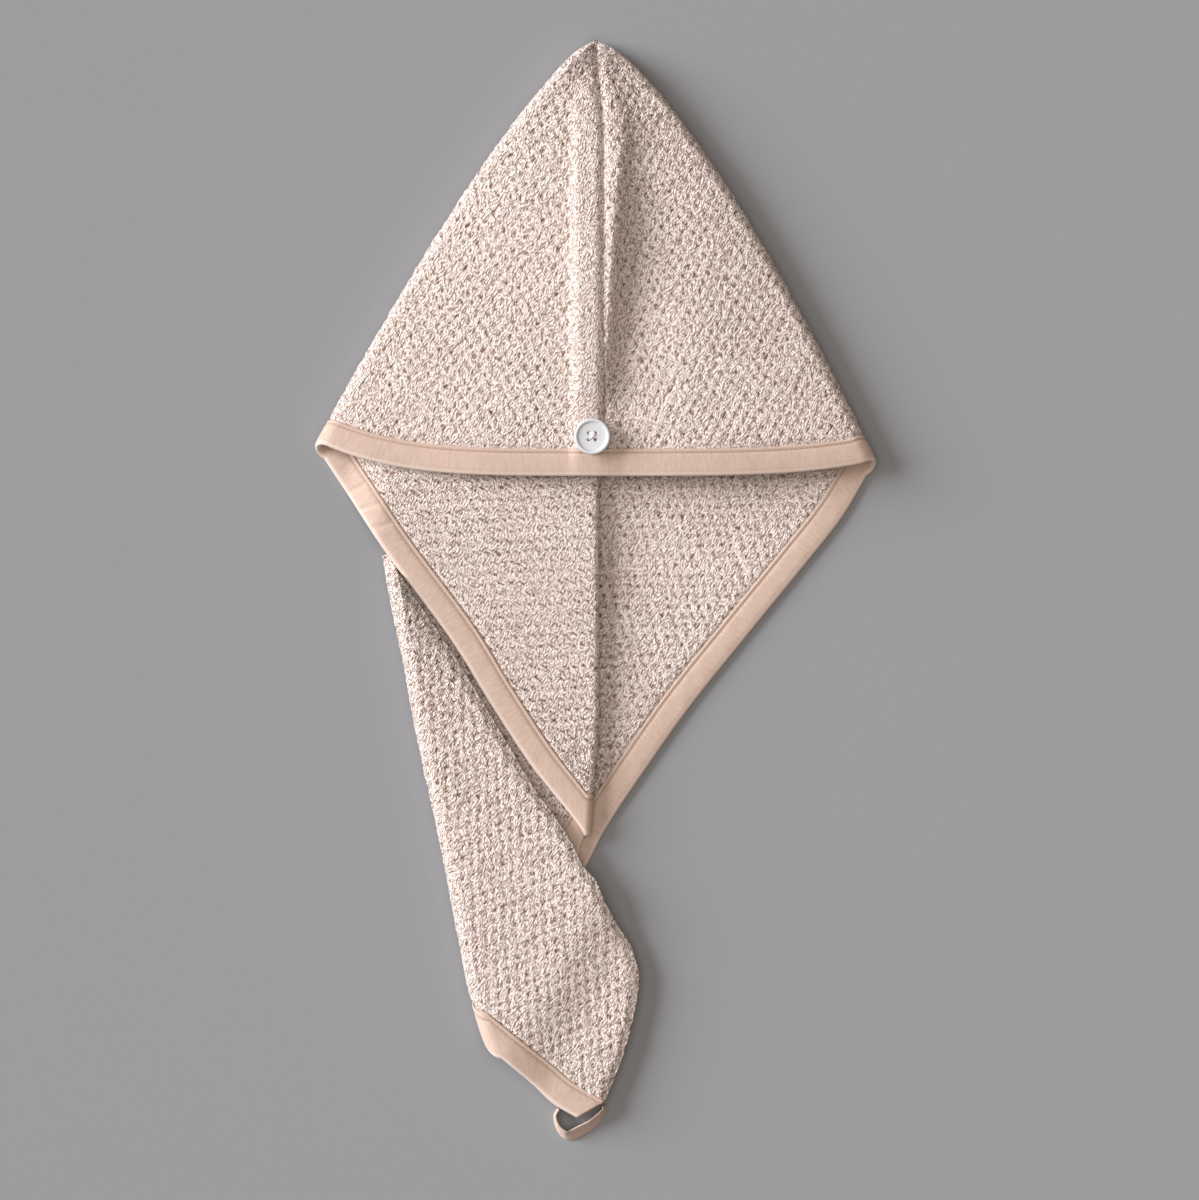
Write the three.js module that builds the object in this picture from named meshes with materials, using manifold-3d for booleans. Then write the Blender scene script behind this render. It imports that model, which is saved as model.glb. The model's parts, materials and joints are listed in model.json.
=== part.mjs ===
// Hair turban towel, lying flat with its tail folded over. Millimetres, +Z up, the peak towards +Y.
//
// The towel is two mirrored halves of terry cloth, sewn along the nape and along the spine. Each half is one
// continuous sheet, folded flat: it is laid out here layer by layer, from slices across the towel, and each
// layer runs into the next round a half-round fold. A tape folded over the edge binds the whole rim.
import * as THREE from 'three';
import Module from 'manifold-3d';
import { mergeVertices } from 'three/addons/utils/BufferGeometryUtils.js';

// Driving sizes. Down is measured from the peak towards the loop, across from the middle of the hood.
const clothThickness = 3.3;
const pressedEdgeThickness = 1.0;
const tapeWidth = 15;
const tapeThickness = 1.0;
const clearance = 0.3;
const layerClearance = 0.5;
const seamClearance = 0.4;
const floorClearance = 0.05;

const peakBluntness = 3.5;
const leftCornerDown = 244;
const rightCornerDown = 253;
const leftCornerReach = 165.5;
const rightCornerReach = 165.5;
const rimSag = 11;
const foldShift = 7;
const foldSkew = 3.5;
const napeAcross = 4.8;
const napePeakAcross = 0.5;
const creaseAcross = 0.8;
const frontTipDown = 491;
const frontTipAcross = -4.8;
const tailTopDown = 328;
const tailTopReach = 123;
const tailFoldDown = 600;
const tailFoldShift = 58;
const tailEdgeStart = -112;
const tailEdgeSweep = 138.4;
const tailEndDown = 634.8;
const tailCornerDown = 644;
const tailCornerAcross = -10.2;
const rimCrossingAcross = -66;

const sideFoldHeight = 12.7;
const peakFoldReach = 2.5;
const archHeight = 7;
const hoodRiseLength = 120;
const ridgeHeight = 6;
const ridgeWidth = 12;
const ridgeAcross = -1;
const slopeLength = 30;
const spineMargin = 10;
const droopMargin = 13;
const droopLength = 42;

const buttonRadius = 10.8;
const buttonThickness = 3.2;
const buttonFromRim = 22.2;
const buttonFromNape = 6.7;
const buttonHoleRadius = 0.9;
const buttonHoleSpacing = 3.9;
const buttonRimWidth = 1.6;
const buttonDish = 0.7;
const buttonPressLength = 27;

const loopTapeWidth = 9;
const loopTapeThickness = 1.0;
const loopReach = 14.6;
const loopDrop = 14.4;

// One layer lies on the next at the thickness of a bound edge, so the layers keep level.
const boundHalf = pressedEdgeThickness / 2 + clearance + tapeThickness;
const layerStep = 2 * boundHalf + layerClearance;
const levels = [0, 1, 2, 3].map((layer) => boundHalf + floorClearance + layer * layerStep);
const sideTop = levels[0] + sideFoldHeight;
const fullEdge = 1.4 * tapeWidth;

// The lowest point of the top panels' rim, and the button's middle, seated from it and from the nape seam.
const rimMiddleDown = (leftCornerDown + rightCornerDown) / 2 + rimSag;
const buttonDown = rimMiddleDown - buttonFromRim;
const buttonAcross = napeAcross - buttonFromNape;

// How the peak opens out, the crease bends to the tip and the button presses on the ridge, as shares.
const peakShare = 0.25;
const creaseBendShare = 0.2;
const ridgeFadeShare = 1 / 3;
const buttonPressShare = 0.6;
const buttonFootShare = 0.72;

// How finely each stretch of the towel is divided: rows down it, columns across a layer and turns of a fold.
const hoodRowCount = 9;
const cornerRowCount = 5;
const frontRowCount = 6;
const underTipRowCount = 4;
const tailEndRowCount = 5;
const frontColumnCount = 7;
const keelColumnCount = 6;
const baseColumnCount = 9;
const tailColumnCount = 8;
const foldSegments = 6;
const buttonSegments = 28;
const holeSegments = 8;
const loopSegments = 24;

// Places across a top panel, from its fold to the nape: closer together on the nape ridge.
const topShares = [0, 0.2, 0.42, 0.64, 0.8, 0.875, 0.92, 0.96, 1];

// How far the right ends of the tail's two rows at its corner go down with their left ends.
const tailSlantShares = [0.5, 0.2];

// The stretch before and after a corner in which its rows are looked for.
const searchBefore = 75;
const searchAfter = 35;

// Outlines, as shares of the named sizes that they span. A side follows a power of the share of the way down.
const leftSidePower = 0.79;
const rightSidePower = 0.725;
const spineTable = [
  { down: 0, out: 0 },
  { down: 0.25, out: 0.33 },
  { down: 0.53, out: 0.67 },
  { down: 0.75, out: 0.88 },
  { down: 1, out: 1 },
];
const leftRimTable = [
  { down: 0, in: 0 },
  { down: 0.112, in: 0.115 },
  { down: 0.25, in: 0.256 },
  { down: 0.463, in: 0.499 },
  { down: 0.613, in: 0.641 },
  { down: 0.76, in: 0.789 },
  { down: 0.84, in: 0.884 },
  { down: 0.895, in: 0.951 },
  { down: 0.93, in: 0.987 },
  { down: 1, in: 1.02 },
];
const rightRimTable = [
  { down: 0, in: 0 },
  { down: 0.09, in: 0.08 },
  { down: 0.17, in: 0.174 },
  { down: 0.3, in: 0.333 },
  { down: 0.42, in: 0.477 },
  { down: 0.53, in: 0.594 },
  { down: 0.63, in: 0.694 },
  { down: 0.689, in: 0.74 },
  { down: 1, in: 1 },
];
const tailFoldTable = [
  { down: 0, in: 0 },
  { down: 0.16, in: 0.155 },
  { down: 0.32, in: 0.295 },
  { down: 0.58, in: 0.56 },
  { down: 0.75, in: 0.71 },
  { down: 0.89, in: 0.84 },
  { down: 1, in: 1 },
];
const tailEdgeTable = [
  { down: 0, in: 0 },
  { down: 0.134, in: 0.202 },
  { down: 0.306, in: 0.434 },
  { down: 0.4, in: 0.56 },
  { down: 0.45, in: 0.643 },
  { down: 0.5, in: 0.712 },
  { down: 0.538, in: 0.752 },
  { down: 0.57, in: 0.812 },
  { down: 0.61, in: 0.85 },
  { down: 0.655, in: 0.902 },
  { down: 0.7, in: 0.965 },
  { down: 0.762, in: 0.998 },
  { down: 0.857, in: 0.963 },
  { down: 0.917, in: 0.923 },
  { down: 1, in: 0.85 },
];
const tailRimTable = [
  { down: 0, in: 0 },
  { down: 0.25, in: 0.24 },
  { down: 0.55, in: 0.52 },
  { down: 0.8, in: 0.74 },
  { down: 1, in: 1 },
];

// The loop's lower edge, from the tail's corner, in shares of its reach and drop; lean is the share of the
// tape's width that lies inwards of that edge, where the standing tape tips over.
const loopTable = [
  { reach: -0.83, drop: -0.31, lean: 0.05 },
  { reach: -1, drop: 0, lean: 0.1 },
  { reach: -0.92, drop: 0.5, lean: 0.28 },
  { reach: -0.62, drop: 0.93, lean: 0.6 },
  { reach: -0.22, drop: 1, lean: 0.72 },
  { reach: 0.19, drop: 0.8, lean: 0.72 },
  { reach: 0.6, drop: 0.54, lean: 0.66 },
  { reach: 0.95, drop: 0.14, lean: 0.5 },
  { reach: 1.11, drop: -0.22, lean: 0.3 },
  { reach: 1.06, drop: -0.44, lean: 0.1 },
];

// A smooth curve through a table's rows, read at a share of the way down.
function readTable(table, column, down) {
  const last = table.length - 1;
  let row = 0;
  while (row < last - 1 && down > table[row + 1].down) row += 1;
  const slopeAt = (index) => {
    const before = table[Math.max(index - 1, 0)];
    const after = table[Math.min(index + 1, last)];
    return (after[column] - before[column]) / (after.down - before.down);
  };
  const from = table[row];
  const to = table[row + 1];
  const span = to.down - from.down;
  const share = (down - from.down) / span;
  if (share > 1) return to[column] + slopeAt(row + 1) * (down - to.down);
  if (share < 0) return from[column] + slopeAt(row) * (down - from.down);
  const squared = share * share;
  const cubed = squared * share;
  return (2 * cubed - 3 * squared + 1) * from[column] + (cubed - 2 * squared + share) * span * slopeAt(row)
    + (3 * squared - 2 * cubed) * to[column] + (cubed - squared) * span * slopeAt(row + 1);
}

const mix = (from, to, share) => from + (to - from) * share;
const clamp = (value) => Math.min(Math.max(value, 0), 1);
const smooth = (value) => clamp(value) ** 2 * (3 - 2 * clamp(value));

// Edges of the layers, each as the place across at a distance down.
const leftSide = (down) => -leftCornerReach * (down / leftCornerDown) ** leftSidePower;
const rightSide = (down) => rightCornerReach * (down / rightCornerDown) ** rightSidePower;
const spine = (down) => -tailTopReach * readTable(spineTable, 'out', down / tailTopDown);
const leftRim = (down) => mix(-leftCornerReach, frontTipAcross,
  readTable(leftRimTable, 'in', (down - leftCornerDown) / (frontTipDown - leftCornerDown)));
const rightRim = (down) => mix(rightCornerReach, rimCrossingAcross,
  readTable(rightRimTable, 'in', (down - rightCornerDown) / (tailFoldDown - rightCornerDown)));
const tailFold = (down) => -tailTopReach
  + tailFoldShift * readTable(tailFoldTable, 'in', (down - tailTopDown) / (tailFoldDown - tailTopDown));
const tailEdge = (down) => tailEdgeStart
  + tailEdgeSweep * readTable(tailEdgeTable, 'in', (down - tailTopDown) / (tailEndDown - tailTopDown));
const tailRim = (down) => mix(rimCrossingAcross, tailCornerAcross,
  readTable(tailRimTable, 'in', (down - tailFoldDown) / (tailCornerDown - tailFoldDown)));
const creaseEdge = (down) => mix(creaseAcross, frontTipAcross,
  smooth(1 + (down / frontTipDown - 1) / creaseBendShare));
const napeSeam = (down) => mix(napePeakAcross, napeAcross, smooth(down / leftCornerDown / peakShare));

// The half-round folds: how far each one reaches past the flat layers beside it.
const outerFoldReach = 1.5 * layerStep;
const innerFoldReach = 0.5 * layerStep;
const sideFoldReach = (down, corner) => mix(peakFoldReach, sideFoldHeight / 2,
  smooth(down / corner / peakShare));
const leftTangent = (down) => leftSide(down) + sideFoldReach(down, leftCornerDown);
const rightTangent = (down) => rightSide(down) - sideFoldReach(down, rightCornerDown);
const creaseTangent = (down) => creaseEdge(down) - innerFoldReach;
const tailTangent = (down) => tailFold(down) + outerFoldReach;

// Heights of the layers above the floor.
const frontLevel = (across, down) => {
  const offSpine = down < tailTopDown ? (spine(down) - spineMargin - across) / slopeLength : 0;
  return levels[2] - (levels[2] - levels[0]) * smooth(offSpine);
};
const tailDroop = (across, down) => (levels[2] - levels[0])
  * smooth((across - rightRim(down) - droopMargin) / droopLength)
  * smooth((down - frontTipDown) / droopLength);
const buttonPress = (down) => 1
  - buttonPressShare * Math.exp(-(((down - buttonDown) / buttonPressLength) ** 2));
const topLevel = (across, down, side) => {
  const reach = side === 'left' ? leftTangent(down) : rightTangent(down);
  const share = clamp((across - napeSeam(down)) / (reach - napeSeam(down)));
  const rise = smooth(down / hoodRiseLength);
  const ridge = ridgeHeight * buttonPress(down) * Math.exp(-(((across - ridgeAcross) / ridgeWidth) ** 2));
  return sideTop + rise * (archHeight * (1 - share * share) + ridge * smooth((1 - share) / ridgeFadeShare));
};

// The place down where two edges meet, between two places where they don't.
function meet(gap, from, to) {
  let low = from;
  let high = to;
  const sign = Math.sign(gap(low));
  for (let step = 0; step < 40; step += 1) {
    const middle = (low + high) / 2;
    if (Math.sign(gap(middle)) === sign) low = middle;
    else high = middle;
  }
  return (low + high) / 2;
}

// How far across a rim lies when it is moved a distance into the cloth.
function inset(rim, side, distance) {
  return (down) => {
    const slope = (rim(down + 0.5) - rim(down - 0.5));
    return rim(down) + side * distance * Math.sqrt(1 + slope * slope);
  };
}

// A sheet: its middle surface as points and triangles, with a mark for how near a point is to the rim:
// 0 on the rim, 1 at the tape's inner edge, 2 where the cloth has its full thickness.
class Sheet {
  constructor() {
    this.points = [];
    this.marks = [];
    this.found = new Map();
    this.triangles = [];
  }

  point(across, down, height, mark) {
    const key = [across, down, height].map((value) => Math.round(value * 200)).join(' ');
    if (this.found.has(key)) {
      const index = this.found.get(key);
      this.marks[index] = Math.min(this.marks[index], mark);
      return index;
    }
    this.points.push(new THREE.Vector3(across, -down, height));
    this.marks.push(mark);
    this.found.set(key, this.points.length - 1);
    return this.points.length - 1;
  }

  // Cells between rows of points; outside says which way the rows' first-to-last turn faces.
  cells(rows, flip) {
    for (let row = 0; row + 1 < rows.length; row += 1) {
      for (let column = 0; column + 1 < rows[row].length; column += 1) {
        const corners = [rows[row][column], rows[row + 1][column],
          rows[row + 1][column + 1], rows[row][column + 1]];
        this.triangle(corners[0], corners[1], corners[2], flip);
        this.triangle(corners[0], corners[2], corners[3], flip);
      }
    }
  }

  triangle(first, second, third, flip) {
    if (first === second || second === third || third === first) return;
    this.triangles.push(flip ? [first, third, second] : [first, second, third]);
  }

  normals() {
    const sums = this.points.map(() => new THREE.Vector3());
    for (const corners of this.triangles) {
      const [first, second, third] = corners.map((index) => this.points[index]);
      const across = new THREE.Vector3().subVectors(second, first);
      const normal = new THREE.Vector3().subVectors(third, first);
      normal.crossVectors(across, normal);
      for (const index of corners) sums[index].add(normal);
    }
    return sums.map((sum) => sum.normalize());
  }
}

function meshFrom(name, positions, triangles, material) {
  const geometry = new THREE.BufferGeometry();
  geometry.setAttribute('position', new THREE.Float32BufferAttribute(positions, 3));
  geometry.setIndex(triangles.flat());
  const welded = mergeVertices(geometry, 1e-4);
  welded.computeVertexNormals();
  const mesh = new THREE.Mesh(welded, material);
  mesh.name = name;
  return mesh;
}

// The cloth as a closed solid: the middle surface moved out to both faces, with walls along its edges.
function clothSolid(name, sheet, material) {
  const normals = sheet.normals();
  const half = sheet.marks.map((mark) => (mark < 2 ? pressedEdgeThickness : clothThickness) / 2);
  const positions = [];
  for (const side of [1, -1]) {
    sheet.points.forEach((point, index) => {
      positions.push(...point.clone().addScaledVector(normals[index], side * half[index]).toArray());
    });
  }
  const count = sheet.points.length;
  const edges = new Map();
  const triangles = [];
  for (const [first, second, third] of sheet.triangles) {
    triangles.push([first, second, third], [first + count, third + count, second + count]);
    for (const [from, to] of [[first, second], [second, third], [third, first]]) {
      const opposite = `${to} ${from}`;
      if (edges.has(opposite)) edges.delete(opposite);
      else edges.set(`${from} ${to}`, [from, to]);
    }
  }
  for (const [from, to] of edges.values()) {
    triangles.push([from, from + count, to + count], [from, to + count, to]);
  }
  return meshFrom(name, positions, triangles, material);
}

// The tape as a closed solid: a channel folded over the rim. Each station is a point on the rim with the point
// of the sheet that lies at the tape's inner edge.
function tapeSolid(name, sheet, stations, material) {
  const normals = sheet.normals();
  const inner = pressedEdgeThickness / 2 + clearance;
  const profiles = stations.map(([edge, inside], index) => {
    let before = index;
    while (before > 0 && stations[before][0] === edge) before -= 1;
    let after = index;
    while (after < stations.length - 1 && stations[after][0] === edge) after += 1;
    const along = new THREE.Vector3().subVectors(sheet.points[stations[after][0]],
      sheet.points[stations[before][0]]);
    const outward = new THREE.Vector3().crossVectors(normals[edge], along).normalize();
    const inward = new THREE.Vector3().subVectors(sheet.points[inside], sheet.points[edge]);
    if (outward.dot(inward) > 0) outward.negate();
    const place = (lift, reach) => sheet.points[edge].clone()
      .addScaledVector(normals[edge], lift).addScaledVector(outward, reach).toArray();
    const placeInside = (lift) => sheet.points[inside].clone()
      .lerp(sheet.points[edge], 3 * clearance / tapeWidth).addScaledVector(normals[inside], lift).toArray();
    const face = (lift, reach, noseLift) => [placeInside(lift), place(lift, 0), place(noseLift, reach),
      place(-noseLift, reach), place(-lift, 0), placeInside(-lift)];
    return face(boundHalf, clearance + tapeThickness, boundHalf * 0.55)
      .concat(face(inner, clearance, inner * 0.9));
  });
  const positions = profiles.flat(2);
  const size = profiles[0].length;
  const half = size / 2;
  const sides = new Set(sheet.triangles.flatMap(([first, second, third]) => [
    `${first} ${second}`, `${second} ${third}`, `${third} ${first}`]));
  const quads = [];
  for (let station = 0; station + 1 < profiles.length; station += 1) {
    const here = station * size;
    const next = here + size;
    // Each cell of the channel is halved along the same diagonal as the cloth in it.
    const from = stations[station][1];
    const to = stations[station + 1][0];
    const insideFirst = sides.has(`${from} ${to}`) || sides.has(`${to} ${from}`);
    for (let corner = 0; corner + 1 < half; corner += 1) {
      const turned = corner === 0 ? !insideFirst : insideFirst;
      const outer = [here + corner, next + corner, next + corner + 1, here + corner + 1];
      const inside = outer.map((index) => index + half).reverse();
      if (turned) outer.push(outer.shift());
      else inside.push(inside.shift());
      quads.push(outer, inside);
    }
    quads.push([here, here + half, next + half, next]);
    quads.push([here + half - 1, next + half - 1, next + size - 1, here + size - 1]);
  }
  const end = (profiles.length - 1) * size;
  for (let corner = 0; corner + 1 < half; corner += 1) {
    quads.push([corner, corner + 1, half + corner + 1, half + corner]);
    quads.push([end + corner, end + half + corner, end + half + corner + 1, end + corner + 1]);
  }
  const triangles = quads.flatMap(([first, second, third, fourth]) => [
    [first, second, third], [first, third, fourth]]);
  return closedMesh(name, positions, triangles, material);
}

// Welds equal points, drops triangles that shrink to a line, and turns the faces outwards.
function closedMesh(name, positions, triangles, material) {
  const found = new Map();
  const welded = [];
  const place = [];
  for (let index = 0; index < positions.length; index += 3) {
    const key = positions.slice(index, index + 3).map((value) => Math.round(value * 1000)).join(' ');
    if (!found.has(key)) {
      found.set(key, welded.length / 3);
      welded.push(...positions.slice(index, index + 3));
    }
    place.push(found.get(key));
  }
  const kept = triangles.map((corners) => corners.map((index) => place[index]))
    .filter(([first, second, third]) => first !== second && second !== third && third !== first);
  const corner = (index) => new THREE.Vector3().fromArray(welded, index * 3);
  const volume = kept.reduce((sum, [first, second, third]) => sum
    + corner(first).dot(corner(second).cross(corner(third))), 0);
  const facing = volume > 0 ? kept : kept.map(([first, second, third]) => [first, third, second]);
  return meshFrom(name, welded, facing, material);
}

// A row of places across a layer, from its left end to its right end. rim says on which side the rim lies and
// how deep in the cloth the row's end on that side is.
function layerRow(sheet, row, level, columns) {
  const { left, right, rim } = row;
  const width = Math.hypot(right[0] - left[0], right[1] - left[1]);
  const depthAt = rim.depth;
  const toDepth = (depth) => {
    const distance = Math.max((depth - depthAt) * rim.stretch, 0);
    return distance > width - 0.01 ? width : distance;
  };
  const places = [0, toDepth(tapeWidth), toDepth(fullEdge)];
  const marks = [0, 1, 2].map((mark) => Math.max(mark, depthAt >= fullEdge ? 2 : 0));
  if (depthAt > 0) marks[0] = depthAt > tapeWidth ? 2 : 1;
  if (depthAt > tapeWidth) marks[1] = 2;
  for (let column = 1; column <= columns; column += 1) {
    places.push(mix(places[2], width, column / columns));
    marks.push(2);
  }
  const indices = places.map((distance, index) => {
    const share = width > 0 ? distance / width : 0;
    const along = rim.side === 'left' ? share : 1 - share;
    const across = mix(left[0], right[0], along);
    const down = mix(left[1], right[1], along);
    return sheet.point(across, down, level(across, down), marks[index]);
  });
  return rim.side === 'left' ? indices : indices.reverse();
}

// The points round a half-round fold from a lower to an upper point. Its outermost point lies skew nearer the
// peak than the two on average.
function foldRow(sheet, lower, upper, reach, skew = 0) {
  const low = sheet.points[lower];
  const high = sheet.points[upper];
  const mark = Math.max(sheet.marks[lower], sheet.marks[upper]);
  const row = [lower];
  for (let step = 1; step < foldSegments; step += 1) {
    const angle = Math.PI * (step / foldSegments - 0.5);
    const share = (1 + Math.sin(angle)) / 2;
    row.push(sheet.point(mix(low.x, high.x, share) + reach * Math.cos(angle),
      -mix(low.y, high.y, share) - skew * Math.cos(angle), mix(low.z, high.z, share), mark));
  }
  row.push(upper);
  return row;
}

// Evenly spread places, from the first up to but without the last.
const spread = (from, to, count) => [...Array(count).keys()].map((index) => mix(from, to, index / count));

// Rows of a layer that ends at a rim: its end on the rim's side, how deep that end is and how a row slants
// over the rim.
function rimEnd(rim, side, down, depth) {
  const slope = rim(down + 0.5) - rim(down - 0.5);
  return { side: side > 0 ? 'left' : 'right', depth, stretch: Math.sqrt(1 + slope * slope) };
}

// The depth in the cloth of a row's end that lies on no rim.
const noRim = Infinity;

// The places down of the rows near a corner, where the tape's inner edge and then the rim run into a fold.
function cornerRows(rim, side, tangent, cornerDown) {
  return [tapeWidth, 0].map((depth) => meet((down) => inset(rim, side, depth)(down) - tangent(down),
    cornerDown - searchBefore, cornerDown + searchAfter));
}

// Where the left rim runs into the centre crease, and the rims under the tail into the tail fold.
const tipRows = () => cornerRows(leftRim, 1, creaseTangent, frontTipDown);
const underRows = () => cornerRows(rightRim, -1, tailTangent, tailFoldDown);
const overRows = () => cornerRows(tailRim, 1, tailTangent, tailFoldDown);

// The rows that all four layers of the tail share, from its top to the end of its fold.
function tailRows() {
  const [tipDown] = tipRows();
  const underTip = cornerRows(rightRim, -1, creaseTangent, frontTipDown);
  const under = underRows();
  return [...spread(tailTopDown, tipDown, frontRowCount), ...underTip,
    ...spread(underTip[1], under[0], underTipRowCount).slice(1), ...under];
}

// Left half.
function leftHalf() {
  const sheet = new Sheet();
  const corner = cornerRows(leftRim, 1, leftTangent, leftCornerDown);
  const tip = tipRows();
  const under = underRows();

  // The inner front: from the left fold, or below it the rim, to the centre crease.
  const hoodRows = spread(peakBluntness, corner[0], hoodRowCount);
  const frontDowns = [...hoodRows, ...corner, ...spread(corner[1], tailTopDown, cornerRowCount).slice(1),
    ...spread(tailTopDown, tip[0], frontRowCount), ...tip];
  const cornerRow = hoodRows.length + 1;
  const tipRow = frontDowns.length - 1;
  const depthAt = (row, first) => (row < first - 1 ? noRim : row === first - 1 ? tapeWidth : 0);
  const front = frontDowns.map((down, row) => layerRow(sheet, {
    left: [row <= cornerRow ? leftTangent(down) : leftRim(down), down],
    right: [creaseTangent(down), down],
    rim: rimEnd(leftRim, 1, down, depthAt(row, cornerRow)),
  }, frontLevel, frontColumnCount));
  sheet.cells(front, false);

  // The top panel: from the left fold to the nape seam, its last rows along the rim.
  const topRim = (share, depth) => topRimPoint('left', share, depth, corner);
  const topRows = [...hoodRows.map((down) => topPanelRow(down, 'left')), topRim, topRim];
  const top = topRows.map((shape, row) => topRow(sheet, shape, row, cornerRow, 'left'));
  sheet.cells(top, true);
  const leftFold = top.map((indices, row) => foldRow(sheet, front[row][0], indices[0],
    -sideFoldReach(frontDowns[row], leftCornerDown), foldSkew * frontDowns[row] / leftCornerDown));
  sheet.cells(leftFold, true);

  // The hidden keel: from the centre crease, or below it the rim, to the spine or the tail fold.
  const keelDowns = [...frontDowns.slice(0, frontDowns.indexOf(tailTopDown)), ...tailRows()];
  const keelLast = keelDowns.length - 1;
  const tailStart = frontDowns.indexOf(tailTopDown);
  const keel = keelDowns.map((down, row) => layerRow(sheet, {
    left: [row < tailStart ? spine(down) : tailTangent(down), down],
    right: [row <= tipRow ? creaseTangent(down) : rightRim(down), down],
    rim: rimEnd(rightRim, -1, down, depthAt(row, tipRow)),
  }, () => levels[1], keelColumnCount));
  sheet.cells(keel, true);
  const crease = front.map((indices, row) => foldRow(sheet, keel[row].at(-1), indices.at(-1),
    innerFoldReach));
  sheet.cells(crease, true);

  // The tail's lining: from the tail fold, or below it the rim, to the sewn edge.
  const tail = tailLayer(sheet, keelDowns, tailStart, under, levels[2], keel, innerFoldReach);
  const stations = [
    ...top.at(-1).map((index, column) => [index, top.at(-2)[column]]).reverse(),
    ...leftFold.at(-1).map((index, column) => [index, leftFold.at(-2)[column]]).reverse(),
    ...front.slice(cornerRow, tipRow).map((indices) => [indices[0], indices[1]]),
    ...crease.at(-1).map((index, column) => [index, crease.at(-2)[column]]).reverse(),
    ...keel.slice(tipRow, keelLast).map((indices) => [indices.at(-1), indices.at(-2)]),
    ...tail.stations,
  ];
  return { sheet, stations };
}

// Right half.
function rightHalf() {
  const sheet = new Sheet();
  const corner = cornerRows(rightRim, -1, rightTangent, rightCornerDown);
  const under = underRows();
  const hoodRows = spread(peakBluntness, corner[0], hoodRowCount);
  const baseDowns = [...hoodRows, ...corner, ...spread(corner[1], tailTopDown, cornerRowCount).slice(1),
    ...tailRows()];
  const cornerRow = hoodRows.length + 1;
  const depthAt = (row) => (row < cornerRow - 1 ? noRim : row === cornerRow - 1 ? tapeWidth : 0);
  const tailStart = baseDowns.indexOf(tailTopDown);
  const baseLast = baseDowns.length - 1;

  // The layer on the floor: from the spine or the tail fold to the right fold, or below it the rim.
  const base = baseDowns.map((down, row) => layerRow(sheet, {
    left: [row < tailStart ? spine(down) : tailTangent(down), down],
    right: [row <= cornerRow ? rightTangent(down) : rightRim(down), down],
    rim: rimEnd(rightRim, -1, down, depthAt(row)),
  }, () => levels[0], baseColumnCount));
  sheet.cells(base, false);

  // The top panel, from the nape seam to the right fold.
  const topRim = (share, depth) => topRimPoint('right', share, depth, corner);
  const topRows = [...hoodRows.map((down) => topPanelRow(down, 'right')), topRim, topRim];
  const top = topRows.map((shape, row) => topRow(sheet, shape, row, cornerRow, 'right'));
  sheet.cells(top, false);
  const rightFold = top.map((indices, row) => foldRow(sheet, base[row].at(-1), indices[0],
    sideFoldReach(baseDowns[row], rightCornerDown), foldSkew * baseDowns[row] / rightCornerDown));
  sheet.cells(rightFold, false);

  const tail = tailLayer(sheet, baseDowns, tailStart, under, levels[3], base, outerFoldReach);
  const stations = [
    ...top.at(-1).map((index, column) => [index, top.at(-2)[column]]).reverse(),
    ...rightFold.at(-1).map((index, column) => [index, rightFold.at(-2)[column]]).reverse(),
    ...base.slice(cornerRow, baseLast).map((indices) => [indices.at(-1), indices.at(-2)]),
    ...tail.stations,
  ];
  return { sheet, stations };
}

// A row across a top panel at one distance down, as a function of the share from the fold to the nape seam.
function topPanelRow(down, side) {
  const tangent = side === 'left' ? leftTangent(down) : rightTangent(down);
  const nape = napeSeam(down) + (side === 'left' ? -1 : 1) * seamClearance / 2;
  return (share) => [mix(tangent, nape, share), down];
}

// A point along the top rim, or a depth up from it, at a share of the way from the fold to the nape seam. The
// rim crosses the top of a side fold nearer the peak than its foot, by foldShift.
function topRimPoint(side, share, depth, corner) {
  const [tapeDown, rimDown] = corner;
  const cornerDown = depth > 0 ? tapeDown - foldShift : rimDown - foldShift;
  const tangent = side === 'left' ? leftTangent(cornerDown) : rightTangent(cornerDown);
  const nape = napeAcross + (side === 'left' ? -1 : 1) * seamClearance / 2;
  const across = mix(tangent, nape, share);
  const middleDown = rimMiddleDown - depth;
  return [across, mix(cornerDown, middleDown, 1 - (1 - share) ** 4)];
}

function topRow(sheet, shape, row, cornerRow, side) {
  const depth = row === cornerRow ? 0 : tapeWidth;
  const mark = row === cornerRow ? 0 : row === cornerRow - 1 ? 1 : 2;
  return topShares.map((share) => {
    const [across, down] = shape(share, depth);
    return sheet.point(across, down, topLevel(across, down, side), mark);
  });
}

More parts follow.
